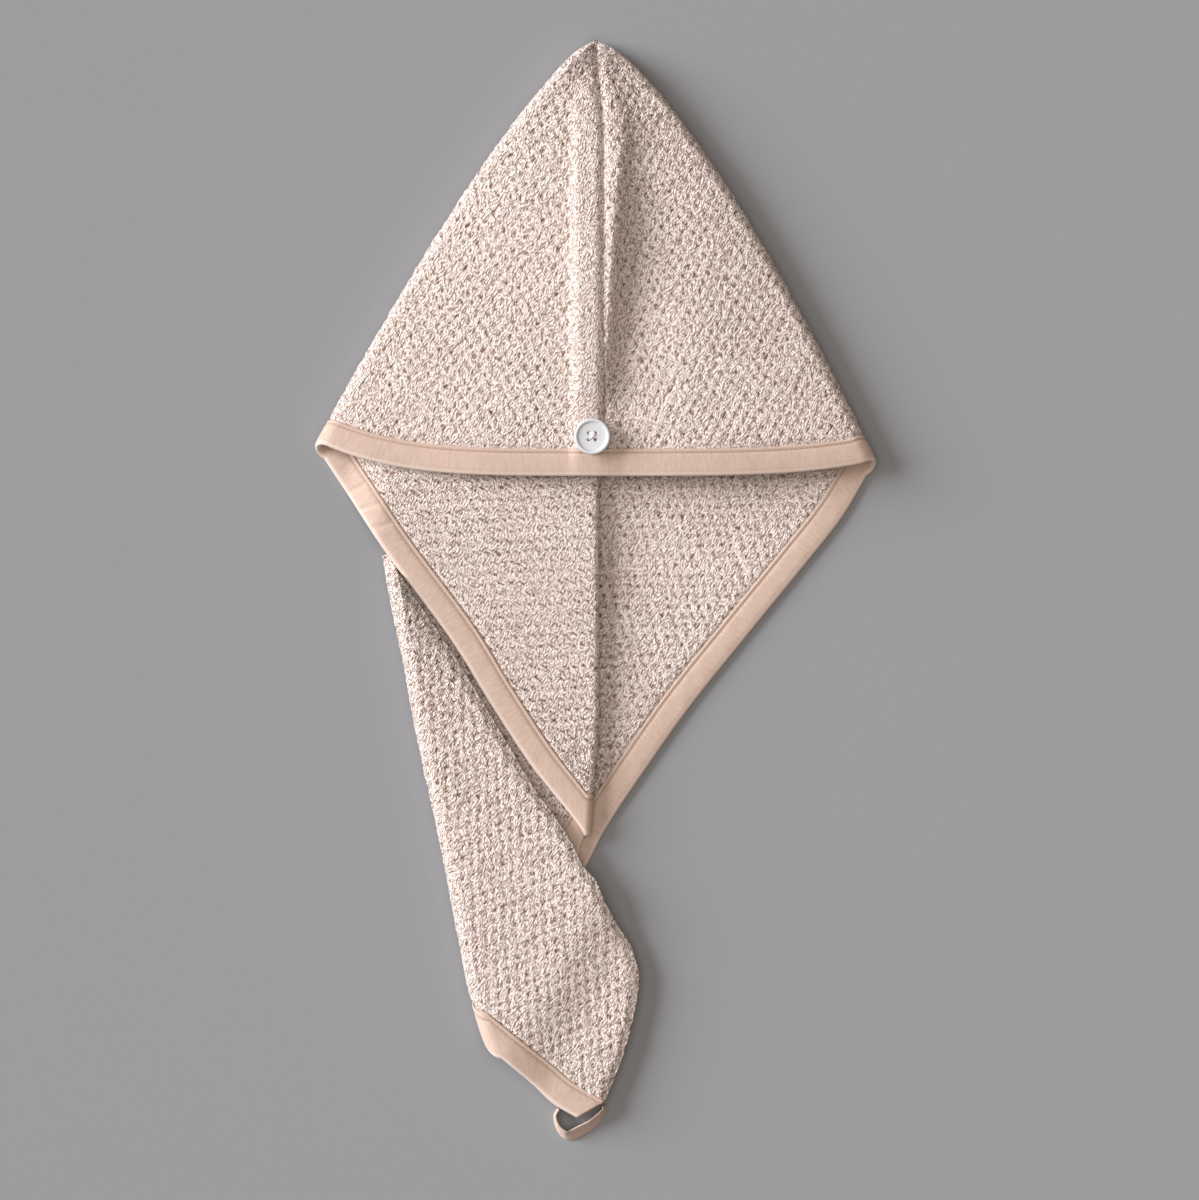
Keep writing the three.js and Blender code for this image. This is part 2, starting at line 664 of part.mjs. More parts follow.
// A layer of the tail, joined to the layer under it round the tail fold.
function tailLayer(sheet, lowerDowns, start, under, level, lower, reach) {
  const over = overRows();
  const lowerLast = lowerDowns.length - 1;
  const bendRows = lowerDowns.slice(start, lowerLast - 1);
  const rows = bendRows.map((down) => ({
    left: [tailTangent(down), down],
    right: [tailEdge(down), down],
    rim: { side: 'left', depth: noRim, stretch: 1 },
  }));
  const rightDowns = over.map((down, index) => mix(under[index], down, tailSlantShares[index]));
  over.forEach((down, index) => rows.push({
    left: [tailTangent(down), down],
    right: [tailEdge(rightDowns[index]), rightDowns[index]],
    rim: rimEnd(tailRim, 1, down, index === 0 ? tapeWidth : 0),
  }));
  for (let row = 1; row <= tailEndRowCount; row += 1) {
    const down = mix(over[1], tailCornerDown, row / tailEndRowCount);
    const edgeDown = mix(rightDowns[1], tailEndDown, row / tailEndRowCount);
    rows.push({
      left: [tailRim(down), down],
      right: [tailEdge(edgeDown), edgeDown],
      rim: rimEnd(tailRim, 1, down, 0),
    });
  }
  const droop = (across, down) => level - tailDroop(across, down);
  const layer = rows.map((row) => layerRow(sheet, row, droop, tailColumnCount));
  sheet.cells(layer, level !== levels[2]);
  const bend = [...bendRows, ...over].map((down, row) => foldRow(sheet, lower[start + row][0], layer[row][0],
    -reach));
  sheet.cells(bend, level !== levels[2]);
  const cornerRow = bendRows.length + 1;
  const stations = [
    ...bend.at(-1).map((index, column) => [index, bend.at(-2)[column]]),
    ...layer.slice(cornerRow).map((indices) => [indices[0], indices[1]]),
  ];
  return { layer, bend, stations };
}

// The button: dished inside a raised rim, with four holes.
async function buttonMesh(material) {
  const half = buttonThickness / 2;
  const floorRadius = buttonRadius - 2 * buttonRimWidth;
  const profile = [
    [0, -half], [buttonRadius * buttonFootShare, -half], [buttonRadius, -half * 0.1],
    [buttonRadius, half * 0.3], [buttonRadius - buttonRimWidth * 0.35, half * 0.85],
    [buttonRadius - buttonRimWidth * 0.9, half],
    [floorRadius + buttonRimWidth * 0.4, half - buttonDish * 0.6], [floorRadius, half - buttonDish],
    [0, half - buttonDish],
  ].map(([radius, height]) => new THREE.Vector2(radius, height));
  const body = new THREE.LatheGeometry(profile, buttonSegments).rotateX(Math.PI / 2);
  const holes = [[-1, -1], [1, -1], [1, 1], [-1, 1]].map(([across, up]) => {
    const hole = new THREE.CylinderGeometry(buttonHoleRadius, buttonHoleRadius, 2 * buttonThickness,
      holeSegments);
    hole.rotateX(Math.PI / 2);
    return hole.translate(across * buttonHoleSpacing / 2, up * buttonHoleSpacing / 2, 0);
  });
  const wasm = await Module();
  wasm.setup();
  const toSolid = (geometry) => {
    geometry.deleteAttribute('normal');
    geometry.deleteAttribute('uv');
    const merged = mergeVertices(geometry, 1e-4);
    return new wasm.Manifold(new wasm.Mesh({
      numProp: 3,
      vertProperties: new Float32Array(merged.getAttribute('position').array),
      triVerts: new Uint32Array(merged.getIndex().array),
    }));
  };
  const cut = holes.reduce((solid, hole) => solid.subtract(toSolid(hole)), toSolid(body)).getMesh();
  const triangles = [];
  for (let index = 0; index < cut.triVerts.length; index += 3) {
    triangles.push([...cut.triVerts.slice(index, index + 3)]);
  }
  return meshFrom('button', [...cut.vertProperties], triangles, material);
}

// The height at which the button rests on the cloth and the tape under it.
function buttonRest() {
  let highest = 0;
  for (let turn = 0; turn < buttonSegments; turn += 1) {
    for (const share of [0, 0.5, 1]) {
      const angle = 2 * Math.PI * turn / buttonSegments;
      const across = buttonAcross + share * buttonFootShare * buttonRadius * Math.cos(angle);
      const down = buttonDown + share * buttonFootShare * buttonRadius * Math.sin(angle);
      const side = across < napeAcross ? 'left' : 'right';
      highest = Math.max(highest, topLevel(across, down, side));
    }
  }
  return highest + boundHalf + clearance;
}

// The hanging loop: a flat tape that stands on its edge round the loop and tips inwards at the front.
function loopMesh(material) {
  const points = loopTable.map(({ reach, drop }) => new THREE.Vector3(
    tailCornerAcross + loopReach * reach, -tailCornerDown - loopDrop * drop, 0));
  const curve = new THREE.CatmullRomCurve3(points, false, 'centripetal');
  const positions = [];
  const triangles = [];
  for (let step = 0; step <= loopSegments; step += 1) {
    const place = curve.getPoint(step / loopSegments);
    const along = curve.getTangent(step / loopSegments);
    const inward = new THREE.Vector3(-along.y, along.x, 0).normalize();
    const row = (step / loopSegments) * (loopTable.length - 1);
    const low = Math.min(Math.floor(row), loopTable.length - 2);
    const lean = mix(loopTable[low].lean, loopTable[low + 1].lean, smooth(row - low));
    const rise = Math.sqrt(1 - lean * lean);
    const width = inward.clone().multiplyScalar(lean).setZ(rise);
    const face = inward.clone().multiplyScalar(rise).setZ(-lean).multiplyScalar(loopTapeThickness / 2);
    const base = place.clone().setZ(floorClearance + lean * loopTapeThickness / 2);
    for (const [share, side] of [[0, -1], [1, -1], [1, 1], [0, 1]]) {
      positions.push(...base.clone().addScaledVector(width, share * loopTapeWidth)
        .addScaledVector(face, side).toArray());
    }
    if (step === 0) continue;
    const here = step * 4;
    for (let corner = 0; corner < 4; corner += 1) {
      const next = (corner + 1) % 4;
      triangles.push([here - 4 + corner, here - 4 + next, here + next], [here - 4 + corner, here + next,
        here + corner]);
    }
  }
  const last = loopSegments * 4;
  triangles.push([0, 2, 1], [0, 3, 2], [last, last + 1, last + 2], [last, last + 2, last + 3]);
  return closedMesh('hanging_loop', positions, triangles, material);
}

// Materials, in the colours of the cream cloth, the tan tape and the white button.
const terry = new THREE.MeshStandardMaterial({ name: 'terry', color: 0xdcc6b8, roughness: 0.95 });
const tape = new THREE.MeshStandardMaterial({ name: 'tape', color: 0xcfae90, roughness: 0.8 });
const plastic = new THREE.MeshStandardMaterial({ name: 'plastic', color: 0xe9edf2, roughness: 0.35 });

const towel = new THREE.Group();
const left = leftHalf();
const right = rightHalf();
towel.add(clothSolid('left_panel', left.sheet, terry));
towel.add(clothSolid('right_panel', right.sheet, terry));
towel.add(tapeSolid('left_binding', left.sheet, left.stations, tape));
towel.add(tapeSolid('right_binding', right.sheet, right.stations, tape));
towel.add(loopMesh(tape));
const button = await buttonMesh(plastic);
button.position.set(buttonAcross, -buttonDown, buttonRest() + buttonThickness / 2);
towel.add(button);

// The part stands with the middle of its outline over the origin.
const box = new THREE.Box3().setFromObject(towel);
towel.position.set(-(box.min.x + box.max.x) / 2, -(box.min.y + box.max.y) / 2, -box.min.z);

export default towel;
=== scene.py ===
"""Hair turban towel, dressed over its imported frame.

Each half of the towel is one folded sheet of waffle terry, built from the same outlines as the frame, in
millimetres across, down from the peak and up from the floor, and set into the frame in metres at the end.
"""
import json
from math import cos, pi, radians, sin

import bmesh
import bpy
import numpy as np
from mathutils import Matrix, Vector

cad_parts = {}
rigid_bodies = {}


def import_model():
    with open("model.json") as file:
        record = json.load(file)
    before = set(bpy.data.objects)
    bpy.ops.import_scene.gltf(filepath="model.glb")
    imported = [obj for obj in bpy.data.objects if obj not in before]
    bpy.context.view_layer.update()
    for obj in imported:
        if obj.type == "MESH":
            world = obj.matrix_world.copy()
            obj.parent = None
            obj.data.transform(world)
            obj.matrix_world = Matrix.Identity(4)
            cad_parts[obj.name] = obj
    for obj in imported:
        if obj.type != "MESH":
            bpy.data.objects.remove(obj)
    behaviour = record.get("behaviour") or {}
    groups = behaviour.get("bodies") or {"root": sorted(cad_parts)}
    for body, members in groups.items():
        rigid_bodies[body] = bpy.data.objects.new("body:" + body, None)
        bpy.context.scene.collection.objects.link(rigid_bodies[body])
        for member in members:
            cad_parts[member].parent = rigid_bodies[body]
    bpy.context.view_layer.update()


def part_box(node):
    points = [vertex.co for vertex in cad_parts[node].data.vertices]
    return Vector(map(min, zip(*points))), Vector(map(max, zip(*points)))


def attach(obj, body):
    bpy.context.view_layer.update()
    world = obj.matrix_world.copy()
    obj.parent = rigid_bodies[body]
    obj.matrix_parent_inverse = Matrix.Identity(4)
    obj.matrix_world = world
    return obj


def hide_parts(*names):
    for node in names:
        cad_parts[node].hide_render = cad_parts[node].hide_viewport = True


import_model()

# Where the outlines' origin, the peak on the middle line, lies in the frame.
PEAK = (-0.107, 330.555, -0.05)

# Sizes of the cloth, the tape and their clearances.
CLOTH = 3.3
PRESSED = 1.0
TAPE_WIDTH = 15.0
CLEARANCE = 0.3
SEAM_GAP = 0.3
BOUND_HALF = PRESSED / 2 + CLEARANCE + 1.0
LAYER_STEP = 2 * BOUND_HALF + 0.5
LEVELS = [BOUND_HALF + 0.05 + layer * LAYER_STEP for layer in range(4)]
SIDE_FOLD = 12.7
SIDE_TOP = LEVELS[0] + SIDE_FOLD
OUTER_REACH = 1.5 * LAYER_STEP
INNER_REACH = 0.5 * LAYER_STEP

# The outline.
CORNER_DOWN = {"left": 244.0, "right": 253.0}
CORNER_REACH = {"left": -165.5, "right": 165.5}
SIDE_POWER = {"left": 0.79, "right": 0.725}
RIM_SAG = 11.0
FOLD_SHIFT, FOLD_SKEW = 7.0, 3.5
NAPE, NAPE_PEAK = 4.8, 0.5
CREASE = 0.8
FRONT_TIP = (-4.8, 491.0)
TAIL_TOP, TAIL_REACH = 328.0, 123.0
TAIL_FOLD_DOWN, TAIL_FOLD_SHIFT = 600.0, 58.0
TAIL_EDGE_START, TAIL_EDGE_SWEEP, TAIL_END = -112.0, 138.4, 634.8
TAIL_CORNER = (-10.2, 644.0)
RIM_CROSSING = -66.0
ARCH, RIDGE = 7.0, 7.0
SLOPE, SPINE_MARGIN = 30.0, 10.0
DROOP_MARGIN, DROOP_LENGTH = 13.0, 42.0
PEAK_LENGTH = 9.0
TAIL_START, TAIL_RISE = 307.0, 16.0
OUTWARDS = {"left": -1, "right": 1}

# The nape ridge: its edges, the right one near the peak and near the rim, and where and how far the button
# presses it; the valley on its right; and its stretched left half.
RIDGE_LEFT, RIDGE_RIGHT = -12.5, (19.0, 6.5)
PRESS_START, PRESSED_RIDGE = 195.0, 0.34
VALLEY_OFFSET, VALLEY_DEPTH, VALLEY_WIDTHS = 12.0, 3.0, (8.0, 22.0)
STRETCHED_LEFT, STRETCHED_HEIGHT = -14.5, 16.0

SPINE_TABLE = [(0, 0), (0.25, 0.33), (0.53, 0.67), (0.75, 0.88), (1, 1)]
LEFT_RIM_TABLE = [(0, 0), (0.112, 0.115), (0.25, 0.256), (0.463, 0.499), (0.613, 0.641), (0.76, 0.789),
                  (0.84, 0.884), (0.895, 0.951), (0.93, 0.987), (1, 1.02)]
RIGHT_RIM_TABLE = [(0, 0), (0.09, 0.08), (0.17, 0.174), (0.3, 0.333), (0.42, 0.477), (0.53, 0.594),
                   (0.63, 0.694), (0.689, 0.74), (1, 1)]
TAIL_FOLD_TABLE = [(0, 0), (0.16, 0.155), (0.32, 0.295), (0.58, 0.56), (0.75, 0.71), (0.89, 0.84), (1, 1)]
TAIL_EDGE_TABLE = [(0, 0), (0.134, 0.202), (0.306, 0.434), (0.4, 0.56), (0.45, 0.643), (0.5, 0.712),
                   (0.538, 0.752), (0.57, 0.812), (0.61, 0.85), (0.655, 0.902), (0.7, 0.965), (0.762, 0.998),
                   (0.857, 0.963), (0.917, 0.923), (1, 0.85)]
TAIL_RIM_TABLE = [(0, 0), (0.25, 0.24), (0.55, 0.52), (0.8, 0.74), (1, 1)]

SQUARE = ((-1, -1), (1, -1), (1, 1), (-1, 1))
BUTTON_RADIUS, BUTTON_THICKNESS = 10.8, 3.2
HOLE_OFFSET, HOLE_RADIUS = 1.95, 0.95
LOOP_TABLE = [(-0.83, -0.31, 0.05), (-1, 0, 0.1), (-0.92, 0.5, 0.28), (-0.62, 0.93, 0.6), (-0.22, 1, 0.72),
              (0.19, 0.8, 0.72), (0.6, 0.54, 0.66), (0.95, 0.14, 0.5), (1.11, -0.22, 0.3), (1.06, -0.44, 0.1)]
LOOP_REACH, LOOP_DROP, LOOP_WIDTH, LOOP_THICKNESS = 14.6, 14.4, 9.0, 1.0

# The waffle: the spacing of its cells along and off the rim, how deep its pits are, and the direction of the
# rim in the plan for each visible layer, in degrees.
CELL = (3.7, 5.1)
PIT_DEPTH = 0.7
PILE = 0.45
GRAIN = {"top_left": 170.0, "top_right": 9.0, "front": 123.4, "base": 54.0, "tail": 147.0, "keel": 54.0}

# The grids: the spacing of rows, how many steps of a millimetre tell two points apart, columns across a layer
# and steps round a fold.
FINE = 1.35
WELDS = 50
WIDE_COLUMNS, NARROW_COLUMNS, KEEL_COLUMNS = 118, 24, 40
SIDE_STEPS, TAIL_STEPS, CREASE_STEPS = 17, 13, 9

# Where the top panels begin and where the tail's corner row ends on its right. The tape's profile: depths in
# from the rim, and how high each stands over the cloth's middle surface. The stitches lie in its groove.
PEAK_SHARE = 0.4 / CORNER_DOWN["left"]
TAIL_RIGHT = 600.0
STITCH_DEPTH, STITCH_PITCH, STITCH_LENGTH, STITCH_RADIUS = 12.6, 3.1, 2.5, 0.28
PROFILE = [(15.0, 1.3), (14.6, 1.66), (13.9, 1.74), (13.2, 1.6), (STITCH_DEPTH, 1.2), (12.0, 1.58),
           (11.2, 1.8), (9.5, 1.9), (7.0, 1.95), (4.5, 1.95), (2.5, 1.88), (1.0, 1.7), (0.0, 1.4)]
MIDDLE_COLUMN = 6
NOSE = [(-0.75, 1.1), (-1.15, 0.6), (-1.3, 0.0)]
TAPE_INSIDE = 0.75
TAPE_STEP = 1.1
# Where the tape puckers, across and down.
PUCKERS = [(-146.4, 268.8), (-136.8, 277.8), (-127.0, 288.0)]
DEPTHS = np.array([depth for depth, lift in PROFILE])[None, :]
LIFTS = np.array([lift for depth, lift in PROFILE])


def mix(start, end, share):
    return start + (end - start) * share


def smooth(value):
    value = np.clip(value, 0, 1)
    return value * value * (3 - 2 * value)


def read_table(table, share):
    """A smooth curve through a table's rows."""
    xs, ys = (np.array(column, float) for column in zip(*table))
    share = np.asarray(share, float)
    rows = np.arange(len(xs))
    before, after = np.maximum(rows - 1, 0), np.minimum(rows + 1, len(xs) - 1)
    slopes = (ys[after] - ys[before]) / (xs[after] - xs[before])
    row = np.clip(np.searchsorted(xs, share, "right") - 1, 0, len(xs) - 2)
    span = xs[row + 1] - xs[row]
    t = np.clip((share - xs[row]) / span, 0, 1)
    curve = ((2 * t**3 - 3 * t**2 + 1) * ys[row] + (t**3 - 2 * t**2 + t) * span * slopes[row]
             + (3 * t**2 - 2 * t**3) * ys[row + 1] + (t**3 - t**2) * span * slopes[row + 1])
    return curve + slopes[0] * np.minimum(share - xs[0], 0) + slopes[-1] * np.maximum(share - xs[-1], 0)


def unit(vectors):
    return vectors / np.linalg.norm(vectors, axis=-1, keepdims=True)


def table_between(table, top, bottom, down):
    """A table read at a place down from top to bottom."""
    return read_table(table, (down - top) / (bottom - top))


def side_edge(side, down):
    return CORNER_REACH[side] * (np.maximum(down, 0) / CORNER_DOWN[side]) ** SIDE_POWER[side]


def spine(down):
    return -TAIL_REACH * read_table(SPINE_TABLE, down / TAIL_TOP)


def left_rim(down):
    share = table_between(LEFT_RIM_TABLE, CORNER_DOWN["left"], FRONT_TIP[1], down)
    return mix(CORNER_REACH["left"], FRONT_TIP[0], share)


def right_rim(down):
    share = table_between(RIGHT_RIM_TABLE, CORNER_DOWN["right"], TAIL_FOLD_DOWN, down)
    return mix(CORNER_REACH["right"], RIM_CROSSING, share)


def tail_fold(down):
    return -TAIL_REACH + TAIL_FOLD_SHIFT * table_between(TAIL_FOLD_TABLE, TAIL_TOP, TAIL_FOLD_DOWN, down)


def tail_edge(down):
    return TAIL_EDGE_START + TAIL_EDGE_SWEEP * table_between(TAIL_EDGE_TABLE, TAIL_TOP, TAIL_END, down)


def tail_rim(down):
    share = table_between(TAIL_RIM_TABLE, TAIL_FOLD_DOWN, TAIL_CORNER[1], down)
    return mix(RIM_CROSSING, TAIL_CORNER[0], share)


def crease_edge(down):
    return mix(CREASE, FRONT_TIP[0], smooth(5 * down / FRONT_TIP[1] - 4))


def nape_seam(down):
    return mix(NAPE_PEAK, NAPE, smooth(4 * down / CORNER_DOWN["left"]))


def side_reach(side, down):
    fold = mix(2.5, SIDE_FOLD / 2, smooth(4 * down / CORNER_DOWN[side]))
    return np.minimum(fold, 0.8 * np.abs(side_edge(side, down)))


def side_tangent(side, down):
    return side_edge(side, down) - OUTWARDS[side] * side_reach(side, down)


def crease_tangent(down):
    return crease_edge(down) - INNER_REACH


def tail_tangent(down):
    return tail_fold(down) + OUTER_REACH


def unevenness(across, down, length):
    """A gentle, fixed unevenness between -1 and 1, with waves about as long as length."""
    waves = [(1.0, 0.31, 0.4), (-0.62, 0.87, 2.1), (0.27, -1.21, 4.4), (1.43, 0.95, 1.2), (-1.1, 1.37, 5.3)]
    total = sum(np.sin(2 * pi * (kx * across + ky * down) / length + phase) for kx, ky, phase in waves)
    return total / len(waves)


def at_peak(height, down):
    """The height of a layer that closes towards the peak."""
    share = 1 - np.clip(down / PEAK_LENGTH, 0, 1)
    return mix((LEVELS[0] + SIDE_TOP) / 2, height, np.sqrt(1 - share * share))


# Heights of the layers' middle surfaces above the floor.
def front_level(across, down):
    off_spine = np.where(down < TAIL_TOP, (spine(down) - SPINE_MARGIN - across) / SLOPE, 0)
    return LEVELS[2] - (LEVELS[2] - LEVELS[0]) * smooth(off_spine)


def tail_droop(across, down):
    return (0.6 * (LEVELS[2] - LEVELS[0]) * smooth((across - right_rim(down) - DROOP_MARGIN) / DROOP_LENGTH)
            * smooth((down - FRONT_TIP[1]) / DROOP_LENGTH))


def top_level(across, down, side):
    """A top panel's height: an arch from the nape to the fold, with the ridge and the valley."""
    reach = side_tangent(side, down)
    share = np.clip((across - nape_seam(down)) / (reach - nape_seam(down)), 0, 1)
    rise = smooth(down / (4 * SLOPE))
    press = mix(1, PRESSED_RIDGE, smooth((down - PRESS_START) / 30)) * (1 - 0.8 * smooth((down - 243) / 14))
    ridge_left = RIDGE_LEFT * smooth(down / 45) + 0.8 * unevenness(down, 0 * down, 90)
    ridge_right = mix(*RIDGE_RIGHT, np.clip((down - 60) / 160, 0, 1)) * smooth(down / 50)
    ridge = RIDGE * press * smooth((across - ridge_left + 4) / 7) * smooth((ridge_right + 4 - across) / 9)
    beyond = across - ridge_right - VALLEY_OFFSET
    valley = VALLEY_DEPTH * np.exp(-((beyond / np.where(beyond < 0, *VALLEY_WIDTHS)) ** 2))
    valley = valley * (1 - 0.6 * smooth((down - PRESS_START) / 60))
    swell = 0.9 * unevenness(across, down, 120) * smooth(2 * (1 - share))
    return at_peak(SIDE_TOP + rise * (ARCH * (1 - share * share) + ridge - valley + swell), down)


def meet(gap, low, high):
    """Where a function changes sign."""
    sign = np.sign(gap(low))
    for _ in range(50):
        middle = (low + high) / 2
        low, high = (middle, high) if np.sign(gap(middle)) == sign else (low, middle)
    return (low + high) / 2


CORNER = {
    "left": meet(lambda d: left_rim(d) - side_tangent("left", d), 184, 284),
    "right": meet(lambda d: right_rim(d) - side_tangent("right", d), 193, 293),
}
TIP = meet(lambda d: left_rim(d) - crease_tangent(d), 411, 511)
UNDER = meet(lambda d: right_rim(d) - tail_tangent(d), 530, 620)
OVER = meet(lambda d: tail_rim(d) - tail_tangent(d), 560, 643)


def keel_rim(down):
    """The keel's rim, which starts from the crease and runs into the rim under it."""
    return right_rim(down) - (right_rim(TIP) - crease_tangent(TIP)) * (1 - smooth((down - TIP) / 40))


def top_point(side, share, down_share, inwards=0.0):
    """The place on a top panel at a share of the way from the fold to the nape and from the peak to the
    rim, and a distance in from there."""
    along = np.hypot(1, SIDE_POWER[side] * CORNER_REACH[side] / CORNER_DOWN[side])
    fold_down = (CORNER[side] - FOLD_SHIFT) * down_share - inwards / along
    middle = ((CORNER_DOWN["left"] + CORNER_DOWN["right"]) / 2 + RIM_SAG) * down_share - inwards
    down = mix(fold_down, middle, 1 - (1 - share) ** 4)
    nape = nape_seam(down) + OUTWARDS[side] * SEAM_GAP / 2
    across = mix(side_tangent(side, fold_down), nape, share)
    return across, down, top_level(across, down, side)


def fold_points(low, high, reach, angle, skew=0.0):
    """Points round a half-round fold from the point low, at -90 degrees, to the point high, at 90. Its
    outermost point lies skew nearer the peak than the two on average."""
    share = (1 + np.sin(angle)) / 2
    return (mix(low[0], high[0], share) + reach * np.cos(angle),
            mix(low[1], high[1], share) - skew * np.cos(angle), mix(low[2], high[2], share))


def wander(along, other, reaches, lengths):
    """A place along one way of the waffle, moved by a long wave and a short one."""
    return (along + reaches[0] * unevenness(along, other, lengths[0])
            + reaches[1] * unevenness(other, along, lengths[1]))


class Sheet:
    """Grids of a sheet's middle surface, welded where they meet."""

    def __init__(self):
        self.points, self.grain, self.full, self.corners = [], [], [], []
        self.count = 0

    def add(self, across, down, height, angle, full, flip):
        """A grid of rows by columns. angle is the direction of the waffle and full how much of its
        thickness the cloth has at each point."""
        across, down, height, full = (np.broadcast_to(a, across.shape).astype(float)
                                      for a in (across, down, height, full))
        rows, columns = across.shape
        steps = np.hypot(np.diff(across, axis=1), np.diff(height, axis=1))
        unrolled = np.concatenate([np.zeros((rows, 1)), np.cumsum(steps, axis=1)], axis=1)
        unrolled = unrolled * np.sign(across[-1, -1] - across[-1, 0] or 1)
        unrolled += across[:, :1]
        turn = radians(angle)
        u = unrolled * cos(turn) - down * sin(turn)
        v = -unrolled * sin(turn) - down * cos(turn)
        u, v = wander(u, v, (1.3, 0.8), (29, 10.3)), wander(v, u, (1.3, 0.9), (35, 12.1))
        self.points.append(np.stack([across, -down, height], axis=-1).reshape(-1, 3))
        self.grain.append(np.stack([u, v], axis=-1).reshape(-1, 2))
        self.full.append(full.reshape(-1))
        index = np.arange(rows * columns).reshape(rows, columns) + self.count
        a, b, c, d = index[:-1, :-1], index[1:, :-1], index[1:, 1:], index[:-1, 1:]
        triangles = np.concatenate([np.stack(t, axis=-1).reshape(-1, 3) for t in ((a, b, c), (a, c, d))])
        self.corners.append(triangles[:, ::-1] if flip else triangles)
        self.count += rows * columns

    def solid(self, name):
        """The sheet as a closed mesh, its thickness sinking at the waffle's pits."""
        points, grain, full = (np.concatenate(a) for a in (self.points, self.grain, self.full))
        corners = np.concatenate(self.corners)
        _, first, welded = np.unique(np.round(points * WELDS).astype(np.int64), axis=0, return_index=True,
                                     return_inverse=True)
        welded = welded.reshape(-1)
        weights = np.bincount(welded)
        place = np.stack([np.bincount(welded, points[:, k]) / weights for k in range(3)], axis=-1)
        thick = np.bincount(welded, full) / weights
        triangles = welded[corners]
        real = (triangles != np.roll(triangles, 1, axis=1)).all(axis=1)
        triangles, corners = triangles[real], corners[real]
        normal = np.zeros_like(place)
        a, b, c = place[triangles.T]
        face = np.cross(b - a, c - a)
        for k in range(3):
            np.add.at(normal, triangles[:, k], face)
        normal /= np.maximum(np.linalg.norm(normal, axis=1, keepdims=True), 1e-9)
        pile = np.random.default_rng(5).random((3, len(place))) - 0.5
        place[:, :2] += PILE * (pile[:2] * thick).T
        calm = (smooth((place[:, 0] - STRETCHED_LEFT) / 4) * (1 - smooth(place[:, 0] / 5))
                * smooth((place[:, 2] - STRETCHED_HEIGHT) / 2.5))
        u, v = grain[first].T
        pit = ((1 - np.cos(pi * u / CELL[0]) * np.cos(pi * v / CELL[1])) / 2) ** 2
        sunk = PIT_DEPTH * pit * (0.8 + 0.35 * unevenness(u, v, 19)) * (1 - 0.85 * calm)
        half = mix(PRESSED, CLOTH, thick) / 2 - (sunk + PILE * pile[2]) * thick
        count = len(place)
        vertices = np.concatenate([place + normal * half[:, None], place - normal * half[:, None]])
        edges, corner_edges = (np.concatenate([t[:, [0, 1]], t[:, [1, 2]], t[:, [2, 0]]])
                               for t in (triangles, corners))
        codes = edges[:, 0] * count + edges[:, 1]
        lone = ~np.isin(codes, edges[:, 1] * count + edges[:, 0])
        start, end = edges[lone].T
        corner_edges = corner_edges[lone]
        walls = np.concatenate([np.stack([start, start + count, end + count], axis=-1),
                                np.stack([start, end + count, end], axis=-1)])
        wall_uv = np.concatenate([corner_edges[:, [0, 0, 1]], corner_edges[:, [0, 1, 1]]])
        faces = np.concatenate([triangles, triangles[:, ::-1] + count, walls])
        uvs = grain[np.concatenate([corners, corners[:, ::-1], wall_uv])]
        return mesh_object(name, vertices, faces, uvs.reshape(-1, 2) / 100)


def add_object(name, data):
    obj = bpy.data.objects.new(name, data)
    bpy.context.scene.collection.objects.link(obj)
    return obj


def mesh_object(name, vertices, faces, uvs=None):
    """A mesh of points in outline millimetres, set into the frame in metres."""
    mesh = bpy.data.meshes.new(name)
    vertices = (np.asarray(vertices) + np.array(PEAK)) / 1000
    mesh.vertices.add(len(vertices))
    mesh.vertices.foreach_set("co", vertices.astype(np.float32).reshape(-1))
    faces = np.asarray(faces)
    size = faces.shape[1]
    mesh.loops.add(faces.size)
    mesh.loops.foreach_set("vertex_index", faces.astype(np.int32).reshape(-1))
    mesh.polygons.add(len(faces))
    mesh.polygons.foreach_set("loop_start", np.arange(0, faces.size, size, dtype=np.int32))
    mesh.update(calc_edges=True)
    mesh.validate()
    mesh.shade_smooth()
    if uvs is not None:
        layer = mesh.uv_layers.new(name="grain")
        layer.data.foreach_set("uv", np.asarray(uvs, np.float32).reshape(-1))
    return add_object(name, mesh)


def plain_mesh(name, vertices, faces):
    """A mesh of points in millimetres, about its own middle."""
    mesh = bpy.data.meshes.new(name)
    mesh.from_pydata([[c / 1000 for c in v] for v in vertices], [], faces)
    return mesh


def rows_between(start, end, step=FINE):
    return np.linspace(start, end, max(int(round(abs(end - start) / step)), 2) + 1)


def rows_on(rows, *stops):
    """Rows that carry on down to each stop."""
    for stop in stops:
        rows = np.concatenate([rows, rows_between(rows[-1], stop)[1:]])
    return rows


def past_tape(distance):
    """How full the cloth is at a distance in from its rim, past the tape."""
    return smooth((distance - TAPE_WIDTH + 0.4) / 2.6)


def rim_fullness(rim, side, across, down):
    """How full the cloth is at a distance from its bound rim."""
    slope = rim(down + 0.5) - rim(down - 0.5)
    return past_tape(side * (across - rim(down)) / np.hypot(1, slope))


def seam_fullness(distance):
    return mix(0.55, 1, smooth(distance / 6))


def half_turn(steps, downs):
    """The angles round a half-round fold, and how far down they are, row by row."""
    return np.meshgrid(np.linspace(-pi / 2, pi / 2, steps), downs)


